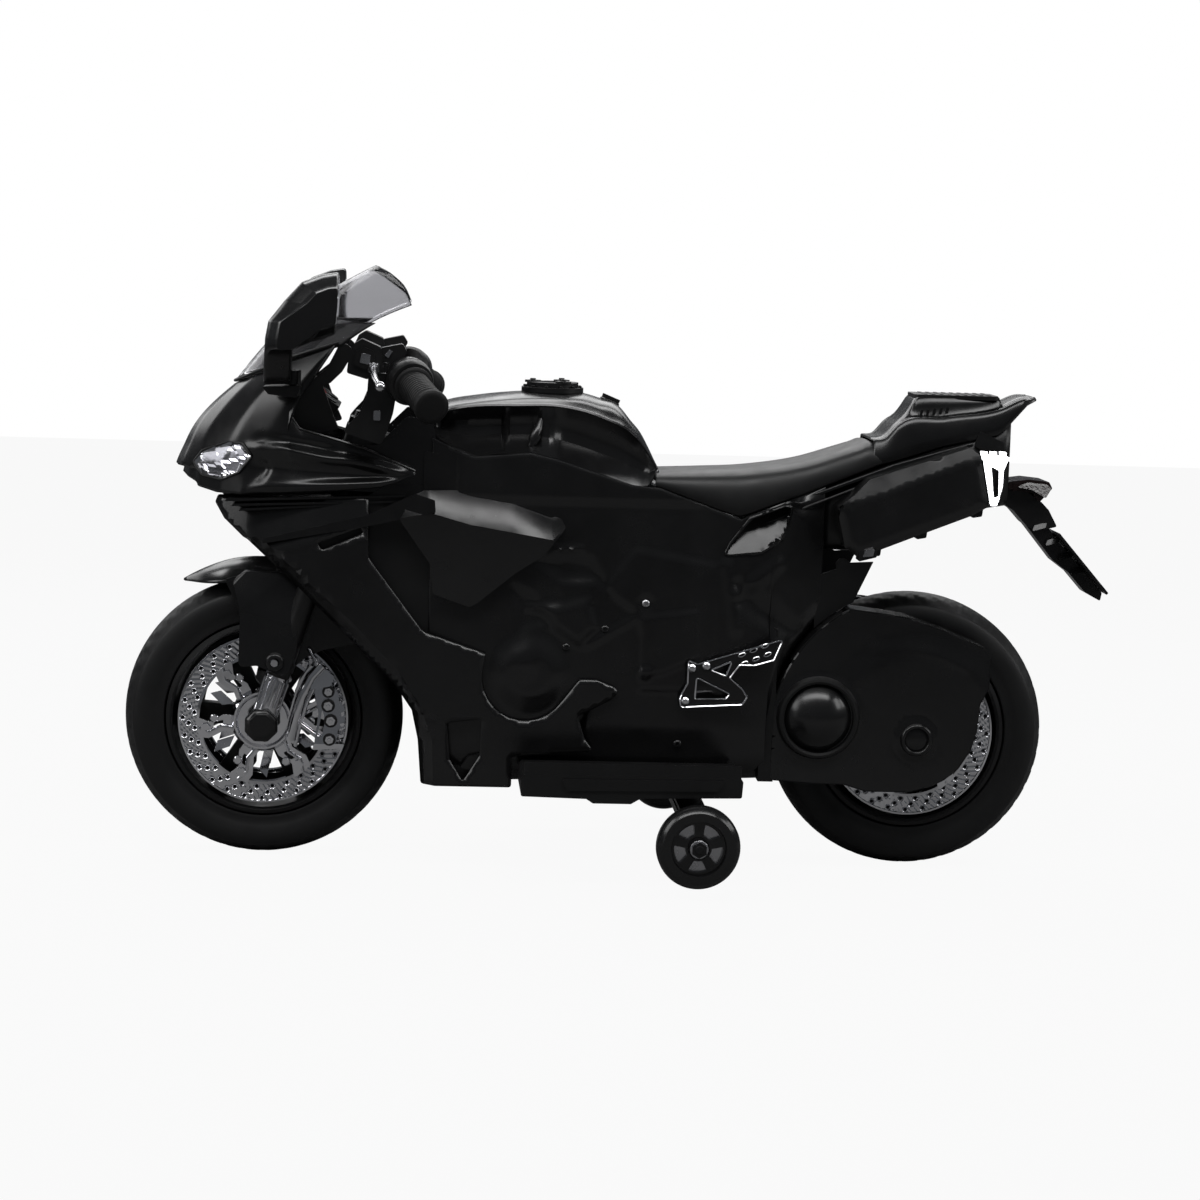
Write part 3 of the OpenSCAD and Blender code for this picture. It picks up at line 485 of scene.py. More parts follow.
def make_materials():
    """One procedural finish for each material slot of the record."""
    surface("gloss_black", grey(0.0048), grey(0.0085), 0.23, 0.05, grain=420)
    surface("satin_black", grey(0.0045), grey(0.0075), 0.40, 0.07, grain=1300, bump=0.3, specular=0.4)
    surface("seat", grey(0.0055), grey(0.0095), 0.44, 0.06, grain=800, bump=0.5, depth=0.12, specular=0.45)
    surface("tyre", grey(0.0065), grey(0.0110), 0.52, 0.08, grain=700, bump=0.4, depth=0.1, specular=0.35)
    surface("grip_rubber", grey(0.0036), grey(0.0055), 0.58, 0.08, grain=1500, bump=0.5, depth=0.1,
            specular=0.3)
    surface("chrome", grey(0.84), grey(0.70), 0.10, 0.05, grain=60, bump=0.25, depth=0.6, metal=1)
    surface("steel", grey(0.55), grey(0.42), 0.28, 0.08, grain=500, bump=0.2, metal=1)
    surface("silver_grey", grey(0.62), grey(0.5), 0.24, 0.08, grain=500, bump=0.2, metal=1)
    surface("button_red", (0.20, 0.008, 0.007), (0.14, 0.006, 0.006), 0.35, 0.06)
    surface("battery_case", grey(0.03), grey(0.045), 0.5, 0.08)
    surface("circuit", (0.01, 0.07, 0.03), (0.012, 0.1, 0.04), 0.4, 0.1, grain=300, bump=0.6)
    surface("wire", (0.28, 0.02, 0.015), (0.2, 0.015, 0.012), 0.45, 0.06)
    surface("gear_nylon", (0.62, 0.58, 0.48), (0.55, 0.51, 0.42), 0.45, 0.08)
    surface("gear_brass", (0.62, 0.45, 0.16), (0.5, 0.36, 0.12), 0.3, 0.08, metal=1)
    smoke = surface("smoke_screen", grey(0.57), grey(0.53), 0.10, 0.03, grain=60, bump=0.03)
    smoke.inputs["Transmission Weight"].default_value = 1
    smoke.inputs["IOR"].default_value = 1.12
    lens = surface("lamp_clear", grey(0.96), grey(0.9), 0.05, 0.02, grain=90, bump=0.15, depth=0.3)
    lens.inputs["Transmission Weight"].default_value = 1
    lens.inputs["IOR"].default_value = 1.3
    red = surface("lamp_red", (0.022, 0.011, 0.011), (0.012, 0.007, 0.007), 0.12, 0.05, grain=260, bump=0.5,
                  depth=0.3)
    red.inputs["Transmission Weight"].default_value = 0.2


# ---------- wheels ----------

BEAD_R = WHEEL_R - 44


def tyre(node, hub):
    """Moulded tyre with rounded sidewalls, a raised line on them and slanted tread cuts."""
    w = HALF_TYRE
    half = [(BEAD_R, w - 11), (BEAD_R + 1.5, w - 5.5), (BEAD_R + 4, w - 4.5), (BEAD_R + 5.5, w - 5),
            (BEAD_R + 12, w - 1.8), (BEAD_R + 20, w - 0.3), (BEAD_R + 26, w - 0.2), (WHEEL_R - 13, w - 2.2),
            (WHEEL_R - 10.6, w - 3.4), (WHEEL_R - 9.8, w - 5), (WHEEL_R - 6.5, w - 9),
            (WHEEL_R - 3.6, w - 14), (WHEEL_R - 1.8, w - 19), (WHEEL_R - 0.7, w - 25),
            (WHEEL_R - 0.1, w - 31), (WHEEL_R, w - 36)]
    profile = half + [(r, -y) for r, y in reversed(half)] + [(BEAD_R - 3, 0)]
    cuts, steps = 44, 352
    rows = []
    for k in range(steps):
        a = 2 * math.pi * k / steps
        row = []
        for r, y in profile:
            tread = r > WHEEL_R - 7
            phase = (k * cuts / steps + abs(y) * 0.055) % 1
            r -= 1.7 * tread * (phase < 0.2) * (4 < abs(y) < w - 6)
            row.append((hub[0] + r * math.cos(a), y, hub[2] + r * math.sin(a)))
        rows.append(row)
    make(node + "_moulded", [grid(rows, close_u=True, close_v=True)], node, sharp=50)


def rim(node, hub):
    """Black hub, six spokes and the well that the tyre sits on."""
    low, high = box_mm(node)
    half = (high - low)[1] / 2
    well = [(BEAD_R - 0.5, half - 9), (BEAD_R - 1, half - 3.5), (BEAD_R - 5, half - 2),
            (BEAD_R - 8, half - 4), (BEAD_R - 10, half - 14), (BEAD_R - 12, 8)]
    well = well + [(r, -y) for r, y in reversed(well)]
    hub_profile = [(7, half), (24, half), (27, half - 3), (27, 9), (27, -9), (27, 3 - half), (24, -half),
                   (7, -half)]
    holes = []
    for k in range(6):
        a0, a1 = 60 * k + 9, 60 * k + 51
        outer = circle((hub[0], hub[2]), BEAD_R - 17, 10, a0, a1 - a0)
        inner = circle((hub[0], hub[2]), 34, 5, a0 + 8, a1 - a0 - 16)
        holes.append(rounded(outer + inner[::-1], 5, 3))
    web = prism(circle((hub[0], hub[2]), BEAD_R - 11, 96), -8, 8, holes)
    make(node + "_moulded", [revolve(well, hub, 96, closed=True), revolve(hub_profile, hub, 48, closed=True),
                             web], node, bevel=0.8)


def turned(part, hub, angle):
    """Moves a part drawn round the origin to a wheel's hub, turned by angle."""
    x, y, z = part[0].T
    c, s = math.cos(math.radians(angle)), math.sin(math.radians(angle))
    return np.stack([hub[0] + x * c - z * s, y, hub[2] + x * s + z * c], 1), part[1]


def leaned(part, z0, slope):
    """Leans a left-hand part's outer face back above z0, so that it catches light from above."""
    points = part[0].copy()
    outer = points[:, 1] < points[:, 1].mean()
    points[outer, 1] += slope * (points[outer, 2] - z0)
    return points, part[1]


def disc(node, hub):
    """Plated brake discs: a drilled, finely chequered ring, six pocketed arms and a raised centre."""
    low, high = box_mm(node)
    face = low[1]
    ring_r = (high - low)[0] / 2
    width = 21
    holes = [circle((0, 0), ring_r - width, 90)]
    cups = []
    lip = face - 0.1
    cup = [(3.2, lip), (1.7, lip + 1.1), (1.6, lip + 2.4)]
    drillings = 28
    for inset, shift in ((5, 0.0), (11, 0.33), (17, 0.66)):
        for x, z in circle((0, 0), ring_r - inset, drillings, shift * 360 / drillings):
            holes.append(circle((x, z), 3.0, 12))
            cups.append(revolve(cup, (hub[0] + x, 0, hub[2] + z), 12))

    def depth(x, z):
        r, a = np.hypot(x, z), np.arctan2(z, x)
        waffle = np.sin(84 * a + 0.5 * r) * np.sin(1.15 * r - 3 * a)
        return -face + 0.75 * waffle * ease((ring_r - r) / 2)

    ring = turned(relief(circle((0, 0), ring_r, 120), depth, 1.5, holes), hub, 0)
    make(node + "_rings", both([ring] + cups), on=node, closed=False, sharp=60)
    back = face + 13
    shade = prism(circle((hub[0], hub[2]), ring_r - 1, 90), back, back + 1,
                  [circle((hub[0], hub[2]), ring_r - width + 1, 60)])
    make(node + "_shades", both([shade]), on=node, paint="satin_black")
    edge = [(ring_r, face - 0.8), (ring_r + 0.4, face + 1), (ring_r, face + 3), (ring_r - 2.4, face + 3),
            (ring_r - 2.8, face + 0.4), (ring_r - 2.0, face - 1)]
    inner = ring_r - width
    rib = [(inner + 1.2, face - 0.6), (inner + 1.2, face + 8), (inner - 1.8, face + 8),
           (inner - 1.8, face - 1.6)]
    parts = [revolve(edge, hub, 120, closed=True), revolve(rib, hub, 96, closed=True)]
    for k in range(6):
        arm = rounded([(24, -9), (40, -13), (56, -8), (inner + 1, -17), (inner + 1, 6), (60, 9), (42, 4),
                       (26, 10)], 3, 3)
        pocket = [rounded([(40, -8), (52, -6), (54, 2), (44, 0)], 2, 2)]
        spoke = prism(arm, face - 3, face + 2, pocket)
        nut = prism(circle((61, -3), 5.2, 6), face - 7, face - 1)
        boss = revolve([(0, face - 6), (3.6, face - 6), (4.6, face - 5), (4.6, face - 1)], (50, 0, -11), 16)
        web = tube([(26, face - 4, 5), (44, face - 6, -2), (58, face - 6, 2), (inner, face - 4, -4)], 1.8, 8)
        flap = prism([(33, 12), (52, 14), (57, 24), (40, 22)], face - 1, face + 3)
        parts += [turned(p, hub, 60 * k + 12) for p in (spoke, nut, boss, web)]
        flap = turned(flap, hub, 60 * k + 12)
        parts.append(leaned(flap, flap[0][:, 2].mean(), 0.5))
    collar = [(12.5, face - 8), (15, face - 10.5), (26, face - 10.5), (28.5, face - 12), (30.5, face - 12),
              (31.5, face - 10), (34, face - 4), (34, face - 1), (12.5, face - 1)]
    parts.append(revolve(collar, hub, 72, closed=True))
    make(node + "_plated", both(parts), node, bevel=0.45, sharp=30)


def stabiliser(node, side):
    """Small wheel: glossy tread band, five windows over a steel plate, and a steel bush in the hub."""
    c = middle(node)
    axle = (c[0], c[2])
    low, high = box_mm(node)
    r, h = (high - low)[0] / 2, (high - low)[1] / 2
    y = c[1]
    band = [(r - 14.5, y + h - 1), (r - 6, y + h - 0.5), (r - 2.6, y + h - 3), (r - 0.5, y + h - 7),
            (r, y + 4), (r, y - 4), (r - 0.5, y - h + 7), (r - 2.6, y - h + 3), (r - 6, y - h + 0.5),
            (r - 14.5, y - h + 1), (r - 15.5, y - h + 5), (r - 16, y), (r - 15.5, y + h - 5)]
    outward = side * h
    windows = []
    for k in range(5):
        a0 = 72 * k + 30
        windows.append(rounded(circle(axle, r - 18, 7, a0, 46) + circle(axle, 13.5, 4, a0 + 6, 34)[::-1],
                               2.5, 3))
    web = prism(circle(axle, r - 14.8, 60), y + outward * 0.25 - 3, y + outward * 0.25 + 3, windows)
    hub = [(5.4, y + h), (9.5, y + h), (11, y + h - 2), (11, y - h + 2), (9.5, y - h), (5.4, y - h)]
    blank = prism(circle(axle, r - 14.8, 48), y - 1.5, y + 1.5, [circle(axle, 9, 24)])
    make(node + "_moulded", [revolve(band, c, 72, closed=True), web, revolve(hub, c, 40, closed=True)],
         node, paint="gloss_black", bevel=0.7)
    make(node + "_disc", [blank], on=node, paint="steel")
    face = y + outward
    bush = [(5.5, face - side * 3), (9.3, face - side * 3), (9.3, face + side * 0.8),
            (8.4, face + side * 1.5), (5.5, face + side * 1.5)]
    make(node + "_bush", [revolve(bush, c, 36, closed=True)], on=node, paint="steel")


def wheels():
    """Both main wheels with their discs, and the stabiliser wheels."""
    for end, hub in (("front", FRONT), ("rear", REAR)):
        tyre(end + "_tyre", hub)
        rim(end + "_rim", hub)
        disc(end + "_discs", hub)
    stabiliser("stabiliser_wheel_left", -1)
    stabiliser("stabiliser_wheel_right", 1)


# ---------- fork, fender and front axle ----------

LEG_Y = box_mm("fork_sliders")[1][1] - 14
LEG_X = -21.0


def fork():
    """Fork legs in their two clamps, with the steering stem."""
    legs = []
    for y in (-LEG_Y, LEG_Y):
        profile = [(42, 11.8), (52, 12), (54, 13.6), (62, 13.6), (64, 12), (228, 12), (230, 13.4),
                   (240, 13.4), (242, 12), (312, 12), (314, 10), (314, 8)]
        legs.append(rod((LEG_X, y, 0), (LEG_X, y, 1), profile, 32))
    outline = rounded([(-42, -78), (-6, -84), (36, -34), (36, 34), (-6, 84), (-42, 78), (-34, 30),
                       (-34, -30)], 9)
    lower = upright(prism(outline, 191, 209))
    upper = upright(prism(outline, 301, 314))
    pads = [upright(prism(rectangle(-40, -2, y - 16, y + 16, 6), 300, 322)) for y in (-LEG_Y, LEG_Y)]
    stem = rod((0, 0, 200), (0, 0, 1000), [(0, 12), (112, 12), (112, 15), (118, 15), (122, 12), (122, 4)], 24)
    make("fork_legs", [in_steering(p) for p in legs + [lower, upper, stem] + pads], "fork", bevel=1.2)


def fork_bottoms():
    """Plated shoes below the legs: fluted sockets and the arms that carry the calipers."""
    parts = []
    for s in (-1, 1):
        y = s * LEG_Y
        socket = [(-24, 11), (-20, 13.5), (38, 13.5), (42, 12.4), (46, 12.4), (46, 8)]
        parts.append(in_steering(rod((LEG_X, y, 0), (LEG_X, y, 1), socket, 32)))
        for k in range(-3, 4):
            x = LEG_X + 4.2 * k
            out = y + s * (13.2 - 0.34 * k * k)
            parts.append(in_steering(tube([(x, out, 14), (x, out, 43)], 1.3, 8)))
    face = -box_mm("calipers")[0][1]
    arm = rounded([(-352, 128), (-341, 122), (-338, 140), (-322, 196), (-316, 204), (-328, 208), (-340, 190),
                   (-351, 150)], 3)
    strut = rounded([(-345, 152), (-340, 146), (-304, 118), (-298, 124), (-338, 158)], 2)
    spine = [(-347, 10 - face, 130), (-344, 7 - face, 146), (-336, 6 - face, 176), (-327, 8 - face, 196),
             (-316, 12 - face, 208)]
    stay = [(-342, 9 - face, 150), (-320, 8 - face, 134), (-300, 9 - face, 121)]
    braces = [prism(arm, 14 - face, 18 - face), prism(strut, 12 - face, 15 - face), tube(spine, 6, 14),
              tube([(x + 5, y + 2, z - 8) for x, y, z in spine[:4]], 2.2, 10), tube(stay, 2.6, 10)]
    make("fork_shoes", parts + both(braces), "fork_sliders", bevel=0.7)


def calipers():
    """Plated calipers with four hexagon bolts over dark washers, ribs and a hose port."""
    face = box_mm("calipers")[0][1]
    shell = rounded([(-322, 126), (-299, 126), (-296, 150), (-297, 178), (-306, 190), (-324, 186),
                     (-318, 158)], 3)
    pocket = [rounded([(-319, 134), (-314, 134), (-311, 150), (-314, 164), (-316, 150)], 1.5)]
    lug = rounded([(-326, 184), (-306, 188), (-302, 198), (-314, 206), (-328, 200)], 2)
    lower = rounded([(-324, 119), (-292, 121), (-290, 126), (-322, 126)], 1.5)
    wing = rounded([(-298, 140), (-290, 150), (-291, 168), (-297, 172)], 1.5)
    parts = [leaned(prism(shell, face + 6, face + 19, pocket), 150, 0.10),
             leaned(prism(lug, face + 6, face + 17), 196, 0.4), prism(lower, face + 6, face + 18),
             leaned(prism(wing, face + 7, face + 15), 156, 0.3)]
    washers = []
    for x, z, r in [(-306, 131, 4.6), (-305, 151, 5), (-308, 167, 5), (-308, 182, 4.4)]:
        parts.append(prism(circle((x, z), r, 6, 15), face + 1, face + 8))
        parts.append(revolve([(0, face), (1.7, face), (2.2, face + 1.5)], (x, 0, z), 12))
        washers.append(prism(circle((x, z), r + 2.2, 24), face + 3.4, face + 10))
    parts.append(tube([(-318, face + 9, 200), (-322, face + 9, 214), (-330, face + 14, 226)], 2.2, 10))
    for k in range(4):
        parts.append(prism([(-296 + k, 132 + 12 * k), (-291, 134 + 12 * k), (-291, 137 + 12 * k),
                            (-296 + k, 136 + 12 * k)], face + 4, face + 12))
    make("caliper_castings", both(parts), "calipers", paint="chrome", bevel=0.5)
    make("caliper_washers", both(washers), on="calipers", paint="gloss_black", bevel=0.3)


def front_axle():
    """Spindle with eight-sided end caps."""
    reach = box_mm("front_axle")[1][1]
    parts = [revolve([(6, reach - 8), (6, -reach + 8)], FRONT, 24)]
    for s in (-1, 1):
        y = s * reach
        shape = [(0, y), (12.5, y), (16.5, y - s * 2.2), (18.6, y - s * 5), (18.6, y - s * 11),
                 (9, y - s * 11)]
        parts.append(revolve(shape, FRONT, 8, start=22.5))
        parts.append(revolve([(10, y - s * 34), (11.5, y - s * 34), (11.5, y - s * 11)], FRONT, 32))
    make("front_axle_caps", parts, "front_axle", paint="gloss_black", bevel=1.2, sharp=25)


def fender():
    """Front mudguard: a beaked crown over the tyre and covers down over the fork legs."""
    hub = FRONT
    rows = []
    for a in np.linspace(121.5, 38, 48):
        turn = math.radians(a)
        top = flow(a, (38, 159), (60, 161), (80, 164), (96, 166), (112, 167), (121.5, 167))
        width = flow(a, (38, 46), (70, 47), (100, 47), (108, 44), (115, 31), (119, 14), (121.5, 3))
        drop = flow(a, (38, 10), (90, 14), (108, 15), (117, 7), (121.5, 1))
        row = []
        for t in np.linspace(-1, 1, 25):
            r = top - drop * abs(t) ** 2.2 + 2.2 * math.exp(-(t / 0.16) ** 2) * ease((118 - a) / 20)
            row.append((hub[0] + r * math.cos(turn), -width * t, hub[2] + r * math.sin(turn)))
        rows.append(row)
    make("fender_crown", [grid(rows)], "front_fender", thick=2.2, closed=False)
    arc = circle((hub[0], hub[2]), 156, 13, 106, -66)
    side = arc + [(-282, 232), (-316, 224), (-336, 214), (-346, 204), (-362, 204), (-398, 208), (-400.5, 220),
                  (-400, 246), (-406, 270), (-414, 286)]
    make("fender_sides", both([prism(rounded(side, 4, 3), -46.8, -44.6)]), on="front_fender", bevel=0.6)
    guard = rounded([(-402, 209), (-383, 211), (-366, 204), (-357, 201), (-349, 205), (-342, 227),
                     (-340, 252), (-336, 284), (-352, 306), (-398, 308), (-410, 298), (-401, 268)], 6)
    guards = [leaned(prism(guard, -74, -80), 215, 0.10), prism(guard, -46, -75)]
    for points, _ in guards:
        behind, above = np.clip(points[:, 0] + 356, 0, 30), np.clip(points[:, 2] - 266, 0, 40)
        steering_room = -80 + 0.3 * behind + 0.45 * above
        points[:, 1] = np.maximum(points[:, 1], steering_room)
    make("fork_guards", both(guards), on="front_fender", bevel=2.2)
    lug = revolve([(0, -87), (3.4, -87), (4.2, -86), (4.2, -78)], (-364, 0, 215), 20)
    cup = revolve([(5, -84), (8, -83.4), (9.5, -82), (10.5, -76)], (-364, 0, 215), 28)
    make("fork_leg_bolts", both([lug]), on="front_fender", paint="chrome")
    make("fork_leg_cups", both([cup]), on="front_fender")


def front_end():
    """Everything that steers, apart from the bars and their controls."""
    fork()
    fork_bottoms()
    calipers()
    front_axle()
    fender()


# ---------- main body ----------

BODY_X = np.concatenate([np.arange(-205, 155, 2.6), np.arange(155, 210, 3.0), [211.0]])
ARCH_R = WHEEL_R + 10


def floor_z(x):
    """Lower edge of the body, which arches over the rear wheel."""
    arch = WHEEL_R + np.sqrt(np.maximum(ARCH_R ** 2 - (REAR[0] - x) ** 2, 0))
    return np.where(x < 155, at(x, (-205, 90), (-113, 92), (154, 98)), arch)


def deck_z(x):
    """Height of the body's upper edge."""
    return at(x, (-205, 453), (-187, 445), (-161, 436), (-103, 442), (-72, 435), (-30, 421), (5, 409),
              (33, 406), (60, 396), (120, 376), (180, 401), (250, 429))


def side_y(x):
    """Half width of the body's flank."""
    return at(x, (-205, 90), (-130, BODY_SIDE), (60, BODY_SIDE), (140, 88), (160, 84), (180, 74), (215, 60))


def deck_y(x):
    """Half width of the body's upper edge."""
    return at(x, (-205, 64), (-187, 72), (-130, 84), (-72, 85), (-30, 80), (5, 66), (33, 58), (120, 66),
              (180, 62), (250, 54))


FACET = rounded([(104, 341), (111, 355), (131, 379), (166, 392), (174, 391), (169, 372), (163, 358),
                 (143, 345)], 3, 3)


RAISED = [([(-101, 281), (-84, 280), (-73, 261), (-47, 243), (-30, 262), (-38, 290), (-70, 284)], 4.5, 12),
          ([(-71, 309), (-33, 310), (-33, 289), (-67, 286)], 1.4, 8),
          ([(-92, 329), (-66, 312), (-29, 312), (-18, 300), (-36, 332), (-62, 336)], -2.5, 14),
          ([(-116, 302), (-94, 292), (-82, 266), (-108, 258)], -2.5, 12),
          ([(-22, 303), (10, 279), (18, 254), (18, 196), (96, 196), (96, 330), (10, 345)], 1.6, 8),
          ([(17, 274), (78, 282), (79, 232), (40, 214), (19, 214)], 1.6, 4),
          (circle((24, 214), 6.5, 16), 2.2, 5), (circle((22, 288), 8, 16), -1.2, 4),
          ([(118, 311), (136, 303), (184, 262), (176, 256), (136, 274), (121, 292)], -4, 20),
          ([(-40, 150), (-34, 182), (-56, 172), (-78, 150), (-66, 133), (-34, 133)], -4, 8)]
RIDGES = [([(-39, 242), (11, 272)], 1.2, 6), ([(-72, 343), (-47, 344)], 2.2, 4),
          ([(120, 300), (160, 330)], 2.0, 12), ([(106, 330), (118, 262)], 2.0, 10)]


def engine_relief(x, z):
    """How far the moulded engine and frame stand out of the body's side."""
    cover = np.hypot(x + 98, z - 212)
    h = 6.5 * ease((45 - cover) / 25) + 2.5 * ease(1 - np.hypot(x + 106, z - 222) / 22)
    for loop, height, edge in RAISED:
        h += plateau(x, z, loop, height, edge)
    for line, height, width in RIDGES:
        h += height * ease(1 - to_line(x, z, line) / width)
    return h


def body_rows():
    """Sections of the left half, from under the middle round the side to the middle of the deck."""
    rows = []
    segments = (6, 4, 10, 84, 26, 10, 8)
    for x in BODY_X:
        z0, z1, w, dw = floor_z(x), deck_z(x), side_y(x), deck_y(x)
        h = z1 - z0
        lean = w - dw
        a = ease((x - 165) / 30)
        edge = z1 + 0.1 * lean
        corners = [(0.2, z0), (0.82 * w, z0), (0.97 * w, z0 + 0.07 * h), (w, z0 + 0.2 * h),
                   (w, (1 - a) * (edge - 1) + a * (z0 + 0.8 * h)),
                   (w - 0.3 * a * lean - 1, (1 - a) * edge + a * (z0 + 0.94 * h)),
                   (dw, z1 - (1 - a) * 0.06 * lean), (0.2, z1 - (1 - a) * 0.06 * lean)]
        line = []
        for (p, q), n in zip(zip(corners, corners[1:]), segments):
            line += [(p[0] + (q[0] - p[0]) * k / n, p[1] + (q[1] - p[1]) * k / n) for k in range(n)]
        line = np.array(line + [corners[-1]])
        top = sum(segments[:4]) - 2
        last = len(line) - 1 if a > 0.5 else top
        for _ in range(3):
            line[1:last] = (line[:last - 1] + 2 * line[1:last] + line[2:last + 1]) / 4
        y, z = line.T
        out = engine_relief(np.full(len(y), x), z) * ease((y / w - 0.8) / 0.15)
        step = 2.5 * ease((x + 180) / 4) * ease((z - 388) / 10) * ease((y / w - 0.7) / 0.1)
        rows.append([(x, -(y[i] + out[i] + step[i]), z[i]) for i in range(len(y))])
    return rows


def fin():
    """Plate behind each side that reaches over the rear wheel and ends in a round lug."""
    low = circle((REAR[0], REAR[2]), ARCH_R + 0.5, 8, 116.2, 18.2)
    top = [(204, 318), (213, 321), (226, 325.5)] + circle((232, 330), 7, 12, 205, -170) + [(241, 332.5),
                                                                                           (265, 334)]
    return prism(top + low, -58.6, -62.4)


def main_body():
    """Both halves of the body, open where the side facets sit."""
    points, faces = grid(body_rows())
    mid = points[np.array(faces)].mean(1)
    cut = inside(mid[:, [0, 2]], FACET)
    skin = points, [f for f, c in zip(faces, cut) if not c]
    rear = BODY_X[-1]
    rear_wall = upright(prism([(rear - 3, -59), (rear - 1, -59), (rear - 1, -0.3), (rear - 3, -0.3)], 272,
                              406))
    seal = prism([(148, 99), (164, 99), (164, 262), (148, 270)], -58, -82)
    for side, turn in SIDES:
        name = "body_" + side
        make(name + "_skin", [turn(skin)], name, thick=2.6, closed=False, sharp=48)
        make(name + "_fin", [turn(p) for p in (fin(), rear_wall, seal)], on=name, paint="satin_black",
             bevel=0.6)


def side_panels():
    """Pale wedge below the seat on each side: a recess whose floor leans back to the sky."""

    def lip_depth(x, z):
        return side_y(x) + 1.4

    def depth(x, z):
        lower = at(x, (104, 341), (143, 345), (163, 356), (174, 372))
        return side_y(x) + 0.8 - 0.56 * np.maximum(z - lower, 0)

    loop = dense(FACET, 4, True)
    x, z = np.array(loop).T
    sides = wall(loop, -lip_depth(x, z), -depth(x, z))
    centre = np.mean(FACET, 0)
    outer = [tuple(p + 3.2 * (p - centre) / np.linalg.norm(p - centre)) for p in np.array(FACET)]
    lip = relief(outer, lip_depth, 4, [FACET])
    make("side_facets", both([relief(FACET, depth, 4), sides, lip]), on="body_left", thick=1.5,
         closed=False, sharp=30)


# ---------- tank, seat and tail ----------

def tank():
    """Tank cover: flat-topped crown, deep front scoop, a knee ridge and hollowed flanks."""
    rows = []
    for x in np.unique(np.concatenate([np.linspace(-214, 35, 84), [-133, -131, -129, -88, -86, -84]])):
        z0 = at(x, (-214, 466), (-205, 458), (-187, 447), (-161, 438), (-135, 442), (-103, 443), (-72, 436),
                (-30, 422), (5, 410), (16, 408), (24, 409), (30, 418), (35, 424))
        z1 = flow(x, (-214, 480), (-187, 490), (-160, 495), (-113, 501), (-70, 502), (-46, 501), (-30, 497),
                  (-5, 487), (5, 475), (17, 461), (28, 441), (35, 427))
        edge = flow(x, (-214, 474), (-187, 484), (-114, 491), (-72, 491), (-30, 481), (13, 456), (28, 436),
                    (35, 425))
        w = at(x, (-214, 62), (-187, 72), (-130, 85), (-72, 86), (-30, 81), (5, 68), (22, 58), (35, 40))
        top = flow(x, (-214, 46), (-187, 58), (-114, 64), (-72, 64), (-30, 60), (13, 46), (28, 34), (35, 26))
        scoop = 15 * ease((x + 210) / 14) * ease((-129 - x) / 3)
        knee = 9 * ease((x + 129) / 4) * ease((-90 - x) / 6)
        flank = 8 * ease((x + 82) / 18) * ease((26 - x) / 22)
        hollow = scoop + knee + flank
        h = edge - z0
        deep = top + 3 - hollow
        rise = z1 - edge
        half = [(w, z0 - 3), (w, z0), (0.5 * w + 0.5 * deep, z0 + 0.14 * h), (deep, z0 + 0.34 * h),
                (deep - 1, z0 + 0.5 * h), (deep - 0.6, z0 + 0.66 * h), (deep + 0.3 * hollow, z0 + 0.8 * h),
                (top + 1.6, edge - 3.4), (top + 2.6, edge - 1.6), (top + 1.6, edge + 0.2),
                (top - 1, edge + 1.2), (top - 5, edge + 1.2 + 0.26 * rise), (0.82 * top, edge + 0.56 * rise),
                (0.68 * top, edge + 0.74 * rise), (0.5 * top, edge + 0.88 * rise),
                (0.25 * top, edge + 0.98 * rise), (0, z1)]
        rows.append(across(x, half))
    make("tank_shell", [grid(rows)], "tank_cover", thick=2.4, closed=False, sharp=34)
    blister = [(-103, -74, 447), (-99, -72, 456), (-95, -67, 466), (-92, -63, 476)]
    make("tank_ribs", both([tube(blister, [3, 6, 5.5, 3], 14)]), on="tank_cover")


def tank_cap():
    """Filler cap: a ring with a sunk centre, three lugs with their bolts, and small studs round it."""
    c = tuple(middle("tank_cap")[:2])
    z = box_mm("tank_cap")[0][2]
    make("cap_ring", [upright(prism(circle(c, 33, 72), z, z + 5.4)),
                      upright(prism(circle(c, 27.5, 72), z + 5, z + 10.8, [circle(c, 14, 40)])),
                      upright(prism(circle(c, 14.4, 40), z + 4, z + 8.4))], "tank_cap", bevel=1)
    lugs = []
    for spot in circle(c, 21, 3, 60):
        lugs.append(upright(prism(circle(spot, 8.6, 28), z + 10, z + 12.4)))
        lugs.append(upright(prism(circle(spot, 3.1, 6), z + 12, z + 14.2)))
    for spot in circle(c, 30, 12, 15):
        lugs.append(upright(prism(circle(spot, 1.9, 12), z + 5, z + 7.4)))
    make("cap_lugs", lugs, on="tank_cap", bevel=0.5)


def latch():
    """Quarter-turn latch with a finger bar, on the slope behind the cap."""
    axis = np.array(joint("latch_turn")["axis"])
    foot = np.array(joint("latch_turn")["pos_m"]) / MM
    tilt = math.atan2(axis[0], axis[2])
    bar = upright(prism(rectangle(-10, 10, -3, 3, 2.6), 2.5, 7))
    knob = rod((0, 0, 0), (0, 0, 1), [(0, 11), (2, 11), (3, 10), (3, 7), (2.2, 6.5)], 36)
    make("latch_knob", [tilted(p, foot, tilt) for p in (bar, knob)], "battery_latch", bevel=0.5)


SEAM = ((33, 406), (60, 397), (100, 383), (120, 377.5), (132, 381), (193, 405), (283, 441), (335, 460),
        (365, 474),
        (404, 497), (430, 507))


